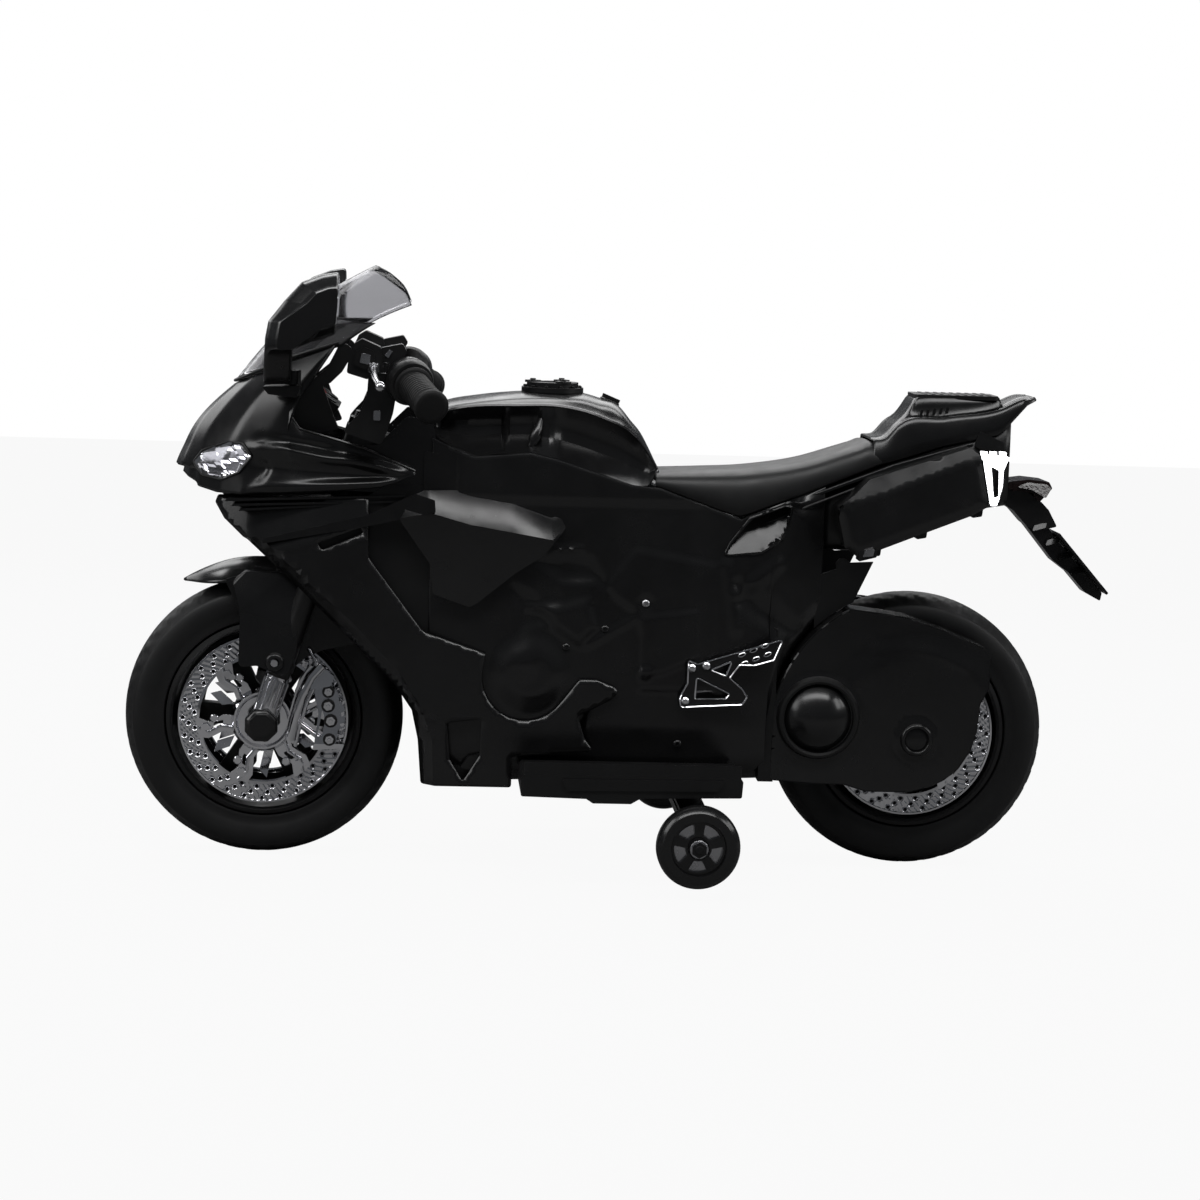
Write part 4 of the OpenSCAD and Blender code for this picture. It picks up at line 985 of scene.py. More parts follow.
def seat():
    """Seat: dished, with rolled lower edges and a raised lip at the back."""
    rows = []
    for x in np.linspace(30.5, 285, 74):
        z0 = at(x, *SEAM) + 1.2
        z1 = flow(x, (30, 422), (83, 425), (137, 429), (191, 438), (233, 451.5), (247, 456), (262, 458.5),
                  (285, 452))
        z1 += 2.2 * ease(1 - abs(x - 257) / 11)
        w = at(x, (36, 60), (60, 62), (120, 68), (180, 64), (250, 57), (285, 50)) + 1
        h = z1 - z0
        half = [(w - 1.5, z0 - 0.8), (w, z0 + 1), (w + 0.8, z0 + 0.16 * h), (w + 0.6, z0 + 0.36 * h),
                (w - 1, z0 + 0.56 * h), (w - 4, z0 + 0.74 * h), (w - 9, z0 + 0.87 * h),
                (w - 18, z0 + 0.95 * h), (0.55 * w, z0 + 0.975 * h), (0.3 * w, z1 - 0.4), (0.12 * w, z1),
                (0, z1)]
        rows.append(across(x, half))
    make("seat_shell", [grid(rows)], "seat", thick=3, closed=False, sharp=70, subdiv=1)


def tail():
    """Tail cowl with a raised pad block, and the twin rails under its seam."""
    rows = []
    for x in np.unique(np.concatenate([np.linspace(262, 437, 60), [286, 288, 290, 400, 401.5, 403]])):
        z0 = at(x, (262, 434), (283, 440), (335, 457), (365, 463), (396, 470), (402, 474), (428, 503),
                (437, 508))
        shoulder = flow(x, (262, 462), (274, 464), (286, 477), (340, 488), (399, 498), (427, 510), (437, 510))
        block = ease((x - 287) / 24) * ease((404 - x) / 5)
        z1 = shoulder + 1 + block * (at(x, (287, 484), (308, 508), (323, 509.5), (402, 510.5)) - shoulder - 1)
        w = at(x, (262, 54), (300, 53), (380, 45), (437, 34))
        ws = w - at(x, (262, 7), (285, 5), (400, 4), (437, 2))
        wb = ws - 7 - 5 * block
        h = shoulder - z0
        half = [(w - 2.5, z0 - 0.6), (w, z0 + 1), (w + 1.2, z0 + 0.25 * h), (w + 0.6, z0 + 0.5 * h),
                (ws + 2.4, z0 + 0.82 * h), (ws + 0.5, shoulder - 0.8), (ws - 1.5, shoulder + 0.6),
                (wb + 1.5, shoulder + 1), (wb, shoulder + 1.4 + 0.06 * (z1 - shoulder)),
                (wb - 1.5, shoulder + 0.5 * (z1 - shoulder) + 0.8), (wb - 3.5, z1 - 1.4 - 0.8 * block),
                (wb - 6, z1 - 0.2), (0.5 * wb, z1 + 0.2), (0, z1 + 0.3)]
        rows.append(across(x, half))
    make("tail_shell", [grid(rows)], "tail_cowl", thick=2, closed=False, sharp=42)
    low, high = box_mm("tail_pad")
    z = low[2] + 1
    pad = [upright(prism(rectangle(low[0] - 6, high[0], low[1] - 2, high[1] + 2, 6), z, z + 4.5))]
    for k in range(9):
        x = low[0] + 4 + 8.6 * k
        pad.append(upright(prism(rectangle(x, x + 4.2, low[1] + 3, high[1] - 3, 1.8), z + 4, z + 5.2)))
    make("tail_pad_top", pad, "tail_pad", bevel=0.7)
    slats = []
    for k in range(5):
        x, low_z, high_z = 310 + 7 * k, 487 + 1.1 * k, 495.5 + 0.8 * k
        slat = rounded([(x, low_z), (x + 3.5, low_z + 0.5), (x + 5, high_z + 0.5), (x + 2, high_z)], 1)
        slats.append(prism(slat, -42.5 + 0.6 * k, -39))
    make("tail_slats", both(slats), on="tail_cowl", bevel=0.5)
    rail = [(138, 375), (193, 398.5), (283, 434), (335, 450), (366, 459)]
    upper = [(x, z + 4.6) for x, z in rail]
    groove = prism(upper + rail[::-1], -52, -64)
    make("tail_rails", both([groove]), on="tail_cowl", bevel=1.4)
    line = [(x, -at(x, (138, 72), (211, 66), (283, 58), (400, 50)), z - 6.5) for x, z in dense(rail, 20)]
    make("tail_beads", both([tube(line, 1.8, 10)]), on="tail_cowl", paint="satin_black")


def tail_under():
    """Tray under the tail and the dark block behind it."""
    rows = []
    for x in np.linspace(213.2, 411, 34):
        z0 = flow(x, (213, 344), (251, 344), (290, 355), (340, 374), (380, 389), (411, 394))
        z1 = at(x, (213, 409), (251, 425), (283, 437), (340, 457), (380, 474), (411, 488))
        w = at(x, (213, 52), (251, 52), (300, 50), (380, 43), (411, 35))
        half = [(w, z1), (w + 0.5, 0.35 * z0 + 0.65 * z1), (w + 0.5, 0.65 * z0 + 0.35 * z1),
                (w - 1.5, z0 + 8), (w - 6, z0 + 2.5), (w - 15, z0), (0, z0 - 0.5)]
        rows.append(across(x, half))
    end = cut_plate([(370, 459), (386, 450), (402, 450), (402, 463), (376, 475)], 2, -47, 47)
    make("tail_tray", [grid(rows[::-1])], "tail_under", thick=2, closed=False)
    make("tail_block", [end], on="tail_under", paint="satin_black", bevel=2)


def plate_holder():
    """Number plate carrier: hooked bracket, ribbed arm and a blank plate."""
    tail_x = box_mm("plate_holder")[1][0]
    bracket = rounded([(410, 412), (412, 394), (421, 389), (434, 375), (446, 366), (470, 372), (460, 390),
                       (452, 398), (436, 409)], 2, 3)
    arm = rounded([(434, 376), (468, 335), (486, 322), (505, 301), (tail_x - 3, 292), (tail_x - 1.5, 301),
                   (467, 362), (452, 384)], 1.5, 3)
    parts = [prism(bracket, -17, 17), prism(arm, -13, 13)]
    for k in range(4):
        x, z = 442 + 15 * k, 367 - 15.5 * k
        rib = cut_plate([(x, z), (x + 15, z + 4), (x + 17, z + 10), (x + 3, z + 6)], 1.2, -19, -12)
        parts += both([leaned(rib, z + 5, 0.56)])
    plate = rounded([(469, 367), (tail_x, 303.8), (tail_x - 1.8, 301.6), (467.2, 364.6)], 0.4, 2)
    parts.append(prism(plate, -37, 37))
    make("plate_bracket", parts, "plate_holder", paint="gloss_black", bevel=0.6)


def rear_lights():
    """Finned tail lamp with leaning ends, and the reflector on the plate arm."""
    lamp = rounded([(412.5, 412), (440, 408.5), (447, 398), (461, 414), (457, 421), (435, 423),
                    (414, 420)], 2.5)
    fins = [prism(rectangle(x, x + 1.5, 409.5, 421, 0.6), -26.8, 26.8) for x in range(418, 440, 6)]
    x, z = 508, 318
    dx, dz = 6, -6.5
    reflector = [(x - dx, z - dz), (x + dx, z + dz), (x + dx + 2.2, z + dz + 2), (x - dx + 2.2, z - dz + 2)]
    crown = leaned(cut_plate([(420, 415), (438, 412.5), (452, 404), (459, 414), (454, 418.5), (434, 420)],
                             2, -30, -24), 416, 0.5)
    make("tail_lamp", [prism(lamp, -26, 26), prism(reflector, -15, 15)] + fins + both([crown]), "rear_lights",
         bevel=0.8)


# ---------- exhausts and rear covers ----------

def walled(outline, depth, back, step=5.0, creases=()):
    """A relief face with walls from its edge back to a flat rear face."""
    front = relief(outline, depth, step, creases=creases)
    loop = dense(list(outline), step, True)
    x, z = np.array(loop).T
    flat, faces = fill([loop])
    rear = (np.stack([flat[:, 0], np.full(len(flat), -back), flat[:, 1]], 1), faces)
    return [front, wall(loop, -depth(x, z), -back), rear]


EXHAUST = [(219, 394), (236, 407), (253, 424), (357, 460), (368, 452), (379, 399), (362, 389), (302, 365),
           (255, 346), (243, 342), (229, 352)]


def exhausts():
    """Silencer covers: a flat side under a face that leans in above the band, tabs and a boss."""
    face, back = -box_mm("exhausts")[0][1], 62.5
    band = [(219, 394), (264, 408), (349, 443), (371, 447)]

    def depth(x, z):
        line = at(x, *band)
        above = np.clip(z - line, 0, 30)
        below = np.clip(10 - into(x, z, EXHAUST), 0, 10)
        roll = 0.055 * below ** 2 * (z < line)
        return face - 0.46 * above - roll

    can = walled(rounded(EXHAUST, 4, 3), depth, back, 4, [band])
    make("silencers", both(can), "exhausts", sharp=30)
    parts = []
    for x, z in ((262, 345), (310, 365), (368, 389)):
        parts.append(cut_plate([(x - 6, z - 3), (x + 5, z - 1), (x + 6, z + 8), (x - 5, z + 8)], 2, -93, -72))
    parts.append(cut_plate([(243, 338), (262, 343), (262, 350), (244, 350)], 1.5, -101, -80))
    make("silencer_tabs", both(parts), on="exhausts", paint="satin_black", bevel=0.8)
    boss = cut_plate([(247, 343), (258, 344.5), (259.5, 352), (249, 349.5)], 1, -103.5, -96)
    make("silencer_bosses", both([boss]), on="exhausts", paint="steel", bevel=0.6)


def exhaust_tips():
    """Plated outlet frame with a slot down its side and three strips across its top."""
    face = -box_mm("exhaust_tips")[0][1]
    frame_part = prism(rounded([(379.6, 400), (387, 400), (394, 420), (396, 436), (403, 450), (374, 453)], 2),
                       -face, -65, [rounded([(384, 408), (389, 410), (391, 436), (383, 440)], 1.5)])
    top = [prism([(372 + 10 * k, 451.2), (379.5 + 10 * k, 451.0), (379.5 + 10 * k, 455),
                  (372 + 10 * k, 455.4)],
                 -face - 0.5, -66) for k in range(3)]
    slot_part = prism([(370, 446.5), (404, 446), (403, 449.6), (371, 450)], -face + 0.5, -66.5)
    skirt = cut_plate([(380, 408), (391, 409), (385, 398)], 1, -face + 1, -67)
    pieces = [leaned(p, 402, 0.52) for p in [frame_part, slot_part, skirt] + top]
    make("outlet_frames", both(pieces), "exhaust_tips", bevel=0.8)


def cover_outline():
    """Outline of the cover over the rear wheel, which follows the wheel arch at the front."""
    hub = (REAR[0], REAR[2])
    return ([(161, 102)] + circle(hub, ARCH_R - 2, 10, 168, -49) + [(300, 277), (345, 262), (384, 246),
                                                                    (391, 238),
            (390, 205), (381, 187), (379, 158), (373, 137), (361, 118), (347, 106), (334, 99), (318, 94),
            (302, 92), (263, 92), (240, 99), (205, 99)])


def rear_covers():
    """Covers over the rear wheel: a faintly stepped plate, a motor dome in a collar, and an axle boss."""
    face, back = -box_mm("swing_covers")[0][1], 46
    motor = np.array(joint("pinion_spin")["pos_m"]) / MM
    loop = rounded(cover_outline(), 3, 2)

    def depth(x, z):
        seat_ring = np.hypot(x - motor[0], z - motor[2])
        axle_ring = np.hypot(x - REAR[0], z - REAR[2])
        d = face - 2.5 * ease((axle_ring - 86) / 30)
        d = d + 1.6 * ease((47 - seat_ring) / 5) + 1.5 * ease((24 - axle_ring) / 4)
        d = d - 0.5 * ease(1 - abs(axle_ring - 24) / 5)
        return d + 0.7 * ease(1 - to_line(x, z, [(261, 243), (300, 246), (331, 241), (366, 226)]) / 7)

    skin = relief(loop, depth, 4.5)
    rim_loop = dense(loop, 4.5, True)
    x, z = np.array(rim_loop).T
    edge = wall(rim_loop, -depth(x, z), -back)
    make("drive_covers", both([skin, edge]), "swing_covers", thick=2, closed=False, bevel=1.6, sharp=40)
    dome = [(0, 18.6), (8, 17.9), (14, 16.3), (20, 13.8), (25, 10.8), (29, 7.7), (32.5, 4.3), (35, 1.3),
            (37, 0)]
    collar = [(36, 0), (37, 5.5), (39.5, 6.6), (42, 5.8), (43.5, 3), (44.5, -2)]
    domes, seats = ([revolve([(r, s * (face + 0.3) + s * d) for r, d in shape], motor, 72) for s in (-1, 1)]
                    for shape in (dome, collar))
    make("motor_domes", domes, "dome_caps", sharp=60)
    make("dome_collars", seats, on="swing_covers", paint="satin_black")


def rear_axle():
    """Axle end caps: a rolled ring with a sunk, slightly domed centre."""
    reach = box_mm("rear_axle")[1][1]
    parts = [revolve([(6, reach - 3), (6, 3 - reach)], REAR, 24)]
    for s in (-1, 1):
        y = s * reach
        shape = [(0, y - s * 2.4), (8, y - s * 2.8), (12.2, y - s * 4), (12.6, y - s * 1), (14, y),
                 (16, y - s * 0.4), (17.2, y - s * 2.6), (17.4, y - s * 8)]
        parts.append(revolve(shape, REAR, 56))
    make("rear_axle_caps", parts, "rear_axle", paint="gloss_black", sharp=60)


# ---------- nose, lamps and windscreen ----------

NOSE_LOW = [(-222, -100, 417), (-258, -100, 403), (-300, -98, 398), (-341, -96, 395), (-375, -90, 392),
            (-403, -82, 390), (-428, -68, 391), (-452, -46, 396), (-468, -22, 403), (-475, 0, 407)]
NOSE_HIGH = [(-222, -99, 421), (-275, -96, 443), (-342, -91, 461), (-354, -87, 478), (-333, -83, 508),
             (-308, -79, 547), (-355, -65, 529), (-392, -40, 512), (-409, -18, 504), (-415, 0, 501)]
NOSE_BOW = (0, 2, 4, 7, 9, 12, 14, 14, 12, 11)
LAMP = [(-454, 420), (-444, 433), (-416, 444), (-401, 443), (-391, 430), (-405, 413), (-423, 405),
        (-444, 408)]


def along(points, u):
    """A point on the line through points, at index u."""
    return np.array([np.interp(u, range(len(points)), v) for v in zip(*points)])


def cowl_relief(x, z):
    """Creases of the nose's flank: a ridge behind the lamp, a hollow below it and a rolled lip."""
    flank = ease((x + 400) / 16)
    ridge = [(-392, 441), (-356, 440), (-311, 431), (-290, 431), (-237, 419)]
    h = 4.5 * ease(1 - to_line(x, z, ridge) / 8)
    h = h - 3.5 * ease(1 - to_line(x, z, [(-384, 449), (-350, 447), (-312, 441)]) / 7)
    h = h - 4.5 * ease(1 - to_line(x, z, [(-380, 420), (-330, 417), (-262, 414)]) / 13)
    h = h + 4.0 * ease(1 - to_line(x, z, [(-392, 399), (-330, 402), (-236, 410)]) / 7)
    eye = ease(1 - np.hypot(x + 386, (z - 417) * 0.8) / 15)
    return h * flank - 6 * eye


def nose():
    """Nose cowl with its mirror feet, edge bead and lining; returns the skin for the lamps to lie on."""
    rows = []
    for u in np.linspace(0, 9, 91):
        a, b = along(NOSE_LOW, u), along(NOSE_HIGH, u)
        bow = np.interp(u, range(10), NOSE_BOW)
        out = np.array([a[0] + 250, 1.6 * a[1], 0])
        out /= np.linalg.norm(out)
        row = []
        for t in np.linspace(0, 1, 49):
            p = a + (b - a) * t + bow * math.sin(math.pi * t) * (out + (0, 0, 0.35))
            row.append(p + out * cowl_relief(p[0], p[2]) * ease(u / 0.6))
        rows.append(row)
    left = np.array(rows)
    for _ in range(4):
        left[1:-1, 1:-1] = 0.6 * left[1:-1, 1:-1] + 0.1 * (left[2:, 1:-1] + left[:-2, 1:-1] + left[1:-1, 2:]
                                                         + left[1:-1, :-2])
    beak = ease((-446 - left[..., 0]) / 14)
    lip_z = 414
    over = beak * (left[..., 2] >= lip_z)
    under = beak * (left[..., 2] < lip_z)
    left[..., 0] -= 2.5 * over * ease((440 - left[..., 2]) / 26)
    left[..., 0] += 7 * under
    whole = [list(r) for r in left] + [[p * (1, -1, 1) for p in r] for r in left[-2::-1]]
    skin = grid([r[::-1] for r in whole])
    make("nose_shell", [skin], "nose_cowl", thick=2.4, closed=False, sharp=60)
    feet = [cut_plate([(-381, 505), (-374, 497), (-345, 494), (-341, 506)], 2, -116, -88)]
    posts = [rod((-350, -104, 496), (-350, -104, 519), [(0, 8.6), (9.6, 8.6), (10, 3.9), (23, 3.9)], 24)]
    make("mirror_feet", both(feet + posts), on="nose_cowl", paint="satin_black", bevel=1)
    edge = [tuple(p) for p in left[:51, -1]]
    make("cowl_edge_bead", both([tube(edge, 1.3, 8)]), on="nose_cowl")
    lining = rounded([(-356, 474), (-357, 482), (-353, 491), (-335, 507), (-316, 523), (-307, 541),
                      (-304, 548), (-296, 549), (-291, 545), (-292, 534), (-300, 520), (-312, 508),
                      (-320, 506), (-314, 490), (-308, 474), (-302, 461), (-326, 455), (-340, 461)], 2.5)
    make("cowl_lining", both([prism(lining, -70, -76.5)]), on="nose_cowl", paint="satin_black", bevel=1)
    return BVHTree.FromPolygons([tuple(p) for p in skin[0]], [tuple(f) for f in skin[1]])


def laid_on(tree, x, z, lift):
    """How far out the left side of a surface lies at (x, z), plus lift."""
    depth = []
    for a, b in zip(np.ravel(x), np.ravel(z)):
        hit = tree.ray_cast(Vector((a, -200, b)), Vector((0, 1, 0)))[0]
        depth.append(-hit.y if hit else 60)
    return np.array(depth).reshape(np.shape(x)) + lift


def headlights(tree):
    """Faceted reflector under a clear lens, with a dark gasket round it."""
    loop = rounded(LAMP, 4, 4)

    def facets(x, z):
        tilt = ((x * 0.9 + z * 0.45) / 19) % 1 + 0.7 * (((z * 0.9 - x * 0.3) / 11) % 1)
        return laid_on(tree, x, z, 0.3 + 1.9 * tilt)

    def lens(x, z):
        return laid_on(tree, x, z, 1.2 + 3.6 * ease(into(x, z, loop) / 9))

    make("lamp_reflectors", both([relief(loop, facets, 2.6)]), on="headlights", paint="chrome", closed=False,
         sharp=15)
    make("lamp_lenses", both([relief(loop, lens, 3)]), "headlights", closed=False, thick=0.6)
    x, z = np.array(dense(loop, 3, True)).T
    y = -laid_on(tree, x, z, 1.0)
    ring = [(x[i], y[i], z[i]) for i in range(len(x))]
    make("lamp_gaskets", both([tube(ring + ring[:1], 1.5, 8)]), on="headlights", paint="satin_black")


def windscreen():
    """Smoked bubble with a dark border below and a seal where it meets the nose."""
    base = [(-304, -78, 549.5), (-354, -65, 532), (-391, -40, 515), (-408.5, -18, 507), (-414.5, 0, 504)]
    top = [(-230, -74, 592), (-238, -58, 608), (-252, -36, 621), (-264, -17, 628), (-269, 0, 630)]
    low, high = np.array(base, float), np.array(top, float)
    rows = []
    for u in np.linspace(0, 4, 33):
        a = np.array([flow(u, *enumerate(low[:, k])) for k in range(3)])
        b = np.array([flow(u, *enumerate(high[:, k])) for k in range(3)])
        rows.append([a + (b - a) * t + (4 + 2.4 * u) * math.sin(math.pi * t) * np.array([-0.6, 0, 0.8])
                     for t in np.linspace(0, 1, 17)])
    whole = rows + [[p * (1, -1, 1) for p in r] for r in rows[-2::-1]]
    inner = [[p + np.array([2.4, 0, -2.4]) for p in r[:9]] for r in whole]
    make("screen_mask", [grid([r[::-1] for r in inner])], on="nose_cowl", paint="satin_black", thick=1.2,
         closed=False, sharp=60)
    make("screen_bubble", [grid([r[::-1] for r in whole])], "windscreen", thick=2.2, closed=False, sharp=60)
    rim = [tuple(r[0] + (0, 0, 0.4)) for r in whole]
    make("screen_seal", [tube(rim, 1.7, 8)], on="windscreen", paint="satin_black")


def dashboard():
    """Instrument pod: twin dials with bezels, ticks and needles, a hood and two rocker switches."""
    tilt = math.radians(35)
    rock = np.array(joint("power_rock")["pos_m"]) / MM
    foot = rock * (1, 0, 1) - np.array([3 * math.sin(tilt), 0, 3 * math.cos(tilt)])
    half = box_mm("instrument_panel")[1][1]
    case = upright(prism(rounded([(-20, -half + 8), (-12, -half), (20, -half + 4), (20, half - 4),
                                  (-12, half), (-20, half - 8)], 5), -5, 5,
                         [rectangle(-9, 9, y - 5.6, y + 5.6, 0.6) for y in (-9, 9)]))

    def placed(parts):
        return [tilted(p, foot, tilt) for p in parts]

    bezels, dials, needles = [], [], []
    points, faces = upright(revolve([(15, 4.5), (15, 6.5), (14, 7), (12.6, 6.4), (12.2, 5)], (0, 0, 0), 48))
    for y in (-32, 32):
        bezels.append((points + (0, y, 0), faces))
        dials.append(upright(prism(circle((0, y), 12.4, 40), 4.6, 5.4)))
        for tick in circle((0, y), 10, 8, -130, 260):
            needles.append(upright(prism(circle(tick, 0.7, 8), 5.3, 5.9)))
        needles.append(upright(prism([(-1.2, y - 1), (8, y + 4.2), (-0.6, y + 1.6)], 5.6, 6.2)))
    hood = upright(cut_plate([(-20, -half + 9), (-16, -half + 4), (-16, half - 4), (-20, half - 9)], 2, 4,
                             12))
    make("dash_case", placed([case, hood] + bezels), "instrument_panel", bevel=0.8)
    make("dash_dials", placed(dials), on="instrument_panel", paint="gloss_black")
    make("dash_needles", placed(needles), on="instrument_panel", paint="silver_grey")
    for node, y in (("power_switch", -9), ("direction_switch", 9)):
        shape = rounded([(-6.9, -3.2), (6.9, -3.2), (6.9, 5.2), (2.4, 6.0), (0, 7.2), (-3, 8.4),
                         (-6.9, 8.8)], 0.8)
        cap = prism(shape, y - 4.5, y + 4.5)
        mark = prism([(-4.6, 8.2), (-3.8, 8.2), (-3.8, 9.3), (-4.6, 9.3)], y - 2, y + 2)
        make(node + "_rocker", placed([cap, mark]), node, bevel=0.5)


# ---------- mirrors ----------

def mirror_section(y):
    """Outline of the mirror at depth y: the stalk fades into the head's lower edge going outward."""
    stalk = ease((y + 178) / 50)
    foot = 546 - 37.5 * stalk
    head = 0.42 + 0.58 * ease((-109 - y) / 17)
    tip = 1 - 0.42 * ease((-160 - y) / 29) ** 1.5
    s = head * tip
    back = [(x * s - 303 * (1 - s), 588 + (z - 588) * s) for x, z in
            [(-357, 594), (-340, 613), (-320, 621), (-303, 624), (-304, 592), (-306, 561), (-330, 553)]]
    front = -376 + 20 * (1 - tip) * 1.6
    rear = -348 - 2 * stalk
    low = [(rear, max(foot, 545 - 10 * (1 - tip))), (rear - 1, foot), (front - 2.5 * stalk, foot - 1)]
    return rounded(low + [(front, 556), (front + 3, 573)] + back, 3.5, 3)


def mirror(name, turn):
    """Folding mirror: arched housing that grows out of a broad stalk, and a glass facing back."""
    depths = [-107, -109, -113, -118, -124, -130, -137, -144, -150, -158, -166, -174, -181, -186, -188]
    rings = [[(x, y, z) for x, z in mirror_section(y)] for y in depths]
    shell = loft(rings)
    collar = rod((-350, -104, 507), (-350, -104, 522), [(0, 8.8), (15, 8.8)], 28)
    make(name + "_housing", [turn(p) for p in (shell, collar)], name, sharp=30, bevel=0.8)
    loop = rounded([(-124, 572), (-124, 606), (-150, 612), (-172, 600), (-178, 584), (-168, 571)], 5)
    glass = [(at(z, (561, -305.2), (592, -303.4), (624, -302.4)), y, z) for y, z in loop]
    back = [(x - 1.4, y, z) for x, y, z in glass]
    make(name + "_glass", [turn(loft([back, glass]))], on=name, paint="chrome")


# ---------- fairings and side pieces ----------

FAIRING_FRONT = [(-427, 388), (-430, 380), (-420, 364), (-391, 339), (-339, 293), (-291, 247), (-238, 195),
                 (-220, 169), (-213, 138), (-209, 91)]
FAIRING_BACK = ([(-114, 91), (-114, 124), (-28, 131), (-38, 143), (-46, 168), (-12, 186), (-4, 194),
                 (-9, 200), (-28, 207), (-45, 207)] + circle((-102, 208), 46, 12, -34, -152)
                + [(-144, 232), (-208, 253), (-213, 257), (-268, 329), (-270, 392), (-391, 388.5)])
FOLD = [(-377, 343), (-339, 309), (-286, 264), (-235, 212), (-211, 176), (-198, 139), (-196, 92)]
SHELF = [(-377, 343), (-271, 371)]
SLIT = [(-322, 343), (-277, 361), (-274, 355), (-317, 336)]
VENT = [(-183, 158), (-147, 163), (-148, 124), (-165, 96), (-179, 119)]


def fairing_side(x):
    """Half width of the fairing."""
    return at(x, (-430, 66), (-391, 84), (-339, 94), (-291, 99), (-205, 101), (0, 101.5))


def fairing_depth(x, z):
    """Flat side with a bevelled leading edge and a shelf that steps in below the nose."""
    fold_x = at(z, (90, -196), (139, -198), (176, -211), (212, -235), (264, -286), (309, -339), (343, -377))
    front = np.clip(15 - to_line(x, z, FAIRING_FRONT), 0, 15)
    d = fairing_side(x) - 0.95 * front * (x < fold_x) * (z < 345)
    rise = z - at(x, *SHELF)
    above = (rise > -0.01) * (x < -262)
    d = d - above * (2.5 + 0.22 * np.maximum(rise, 0))
    return d - (1 - above) * 0.5 * np.clip(8 - to_line(x, z, SHELF), 0, 8) * (x > fold_x)


def fairing(name, turn):
    """One side fairing: panel with a slit and a vent, what shows behind them, slats and a blade."""
    loop = rounded(FAIRING_FRONT + FAIRING_BACK, 3, 2)
    holes = [rounded(h, 2.5, 3) for h in (SLIT, VENT)]
    low_shelf = [(x, z - 0.6) for x, z in SHELF]
    face = relief(loop, fairing_depth, 6, holes, [FOLD, SHELF, low_shelf])
    make(name + "_panel", [turn(face)], name, thick=2.4, closed=False, sharp=24)
    backs = [prism([(-330, 330), (-268, 350), (-268, 366), (-330, 350)], -87, -89),
             prism([(-196, 92), (-138, 92), (-138, 170), (-196, 170)], -84, -86),
             cut_plate([(-168, 110), (-136, 105), (-145, 126), (-160, 122)], 2, -86, -98)]
    gap = prism([(-272, 322), (-212, 250), (-196, 250), (-196, 405), (-250, 405), (-272, 392)], -87, -89)
    make(name + "_backing", [turn(p) for p in backs + [gap]], on=name, paint="satin_black", bevel=0.5)
    blade = cut_plate([(-379, 341), (-377, 346), (-271, 374), (-222, 398), (-201, 392), (-200, 380),
                       (-268, 363), (-372, 342)], 1.2, -98.5, -92)
    slats = []
    for k, (x0, x1, z0, z1) in enumerate([(-418, -232, 384, 391), (-412, -212, 379, 386),
                                          (-404, -284, 374, 381)]):
        slats.append(prism([(x0, z0), (x1, z1 + 2), (x1, z1 + 4), (x0 + 3, z0 + 2.6)], -62 - k,
                           -93 + 1.5 * k))
    insert = cut_plate([(-240, 387), (-206, 381), (-206, 392), (-222, 396)], 1.5, -92, -100.5)
    make(name + "_slats", [turn(p) for p in slats + [insert]], on=name, bevel=0.7)
    taper = blade[0].copy()
    taper[:, 1] += np.clip(-300 - taper[:, 0], 0, 80) * 0.10 - np.clip(taper[:, 0] + 290, 0, 90) * 0.19
    make(name + "_blade", [turn((taper, blade[1]))], on=name, bevel=1.2)


def headstock_covers():
    """Side plates between the nose and the tank, with a shallow rebate along their rear edge."""
    cover = rounded([(-304, 398), (-300, 444), (-262, 446), (-246, 462), (-232, 476), (-206, 476),
                     (-200, 448), (-186, 444), (-186, 398), (-222, 396)], 3)
    face = [prism(cover, -87.3, -88.6)]
    pad = rounded([(-213, 400), (-213, 441), (-188, 438), (-188, 400)], 2.5)
    make("headstock_covers", both(face), on="body_left", paint="gloss_black", bevel=0.5)
    make("headstock_pads", both([prism(pad, -86, -90.5)]), on="body_left", bevel=1.8)


WING = [(-237, 371), (-229, 386), (-221, 397), (-212, 401), (-163, 402), (-116, 388), (-69, 375), (-65, 367),
        (-86, 338), (-116, 318), (-155, 285), (-163, 281), (-201, 294), (-205, 326)]
WING_FOLD = [(-236, 373), (-205, 379), (-164, 368), (-78, 354)]


def winglets():
    """Side blades: an upper face that leans to the sky over a flat lower face."""
    face = -box_mm("winglets")[0][1]

    def depth(x, z):
        rise = z - at(x, *WING_FOLD, (-66, 364))
        up = np.maximum(rise, 0)
        lean = at(x, (-236, 0.35), (-205, 0.50), (-120, 0.46), (-66, 0.8))
        return face - lean * up - 0.006 * up ** 2 - 0.10 * np.maximum(-rise, 0)

    blades = walled(rounded(WING, 3, 3), depth, 88, 5, [WING_FOLD])
    make("wing_blades", both(blades), "winglets", sharp=24, bevel=1)


def screws():
    """Body screws: one bright one, the rest blackened, each with a hexagon socket."""
    face = box_mm("screws")[0][1]
    for name, places in (("trim_screws", [(22, 288)]), ("body_screws", [(-60, 240), (60, 140), (-20, 260)])):
        heads = []
        for x, z in places:
            heads.append(revolve([(1.6, face + 1), (1.9, face), (3.2, face + 0.3), (4, face + 1.2),
                                  (4, face + 3)],
                                 (x, 0, z), 24))
            heads.append(prism(circle((x, z), 1.7, 6), face + 1, face + 2))
        if name == "trim_screws":
            make(name, both(heads), "screws", paint="steel")
        else:
            make(name, both(heads), on="screws", paint="gloss_black")


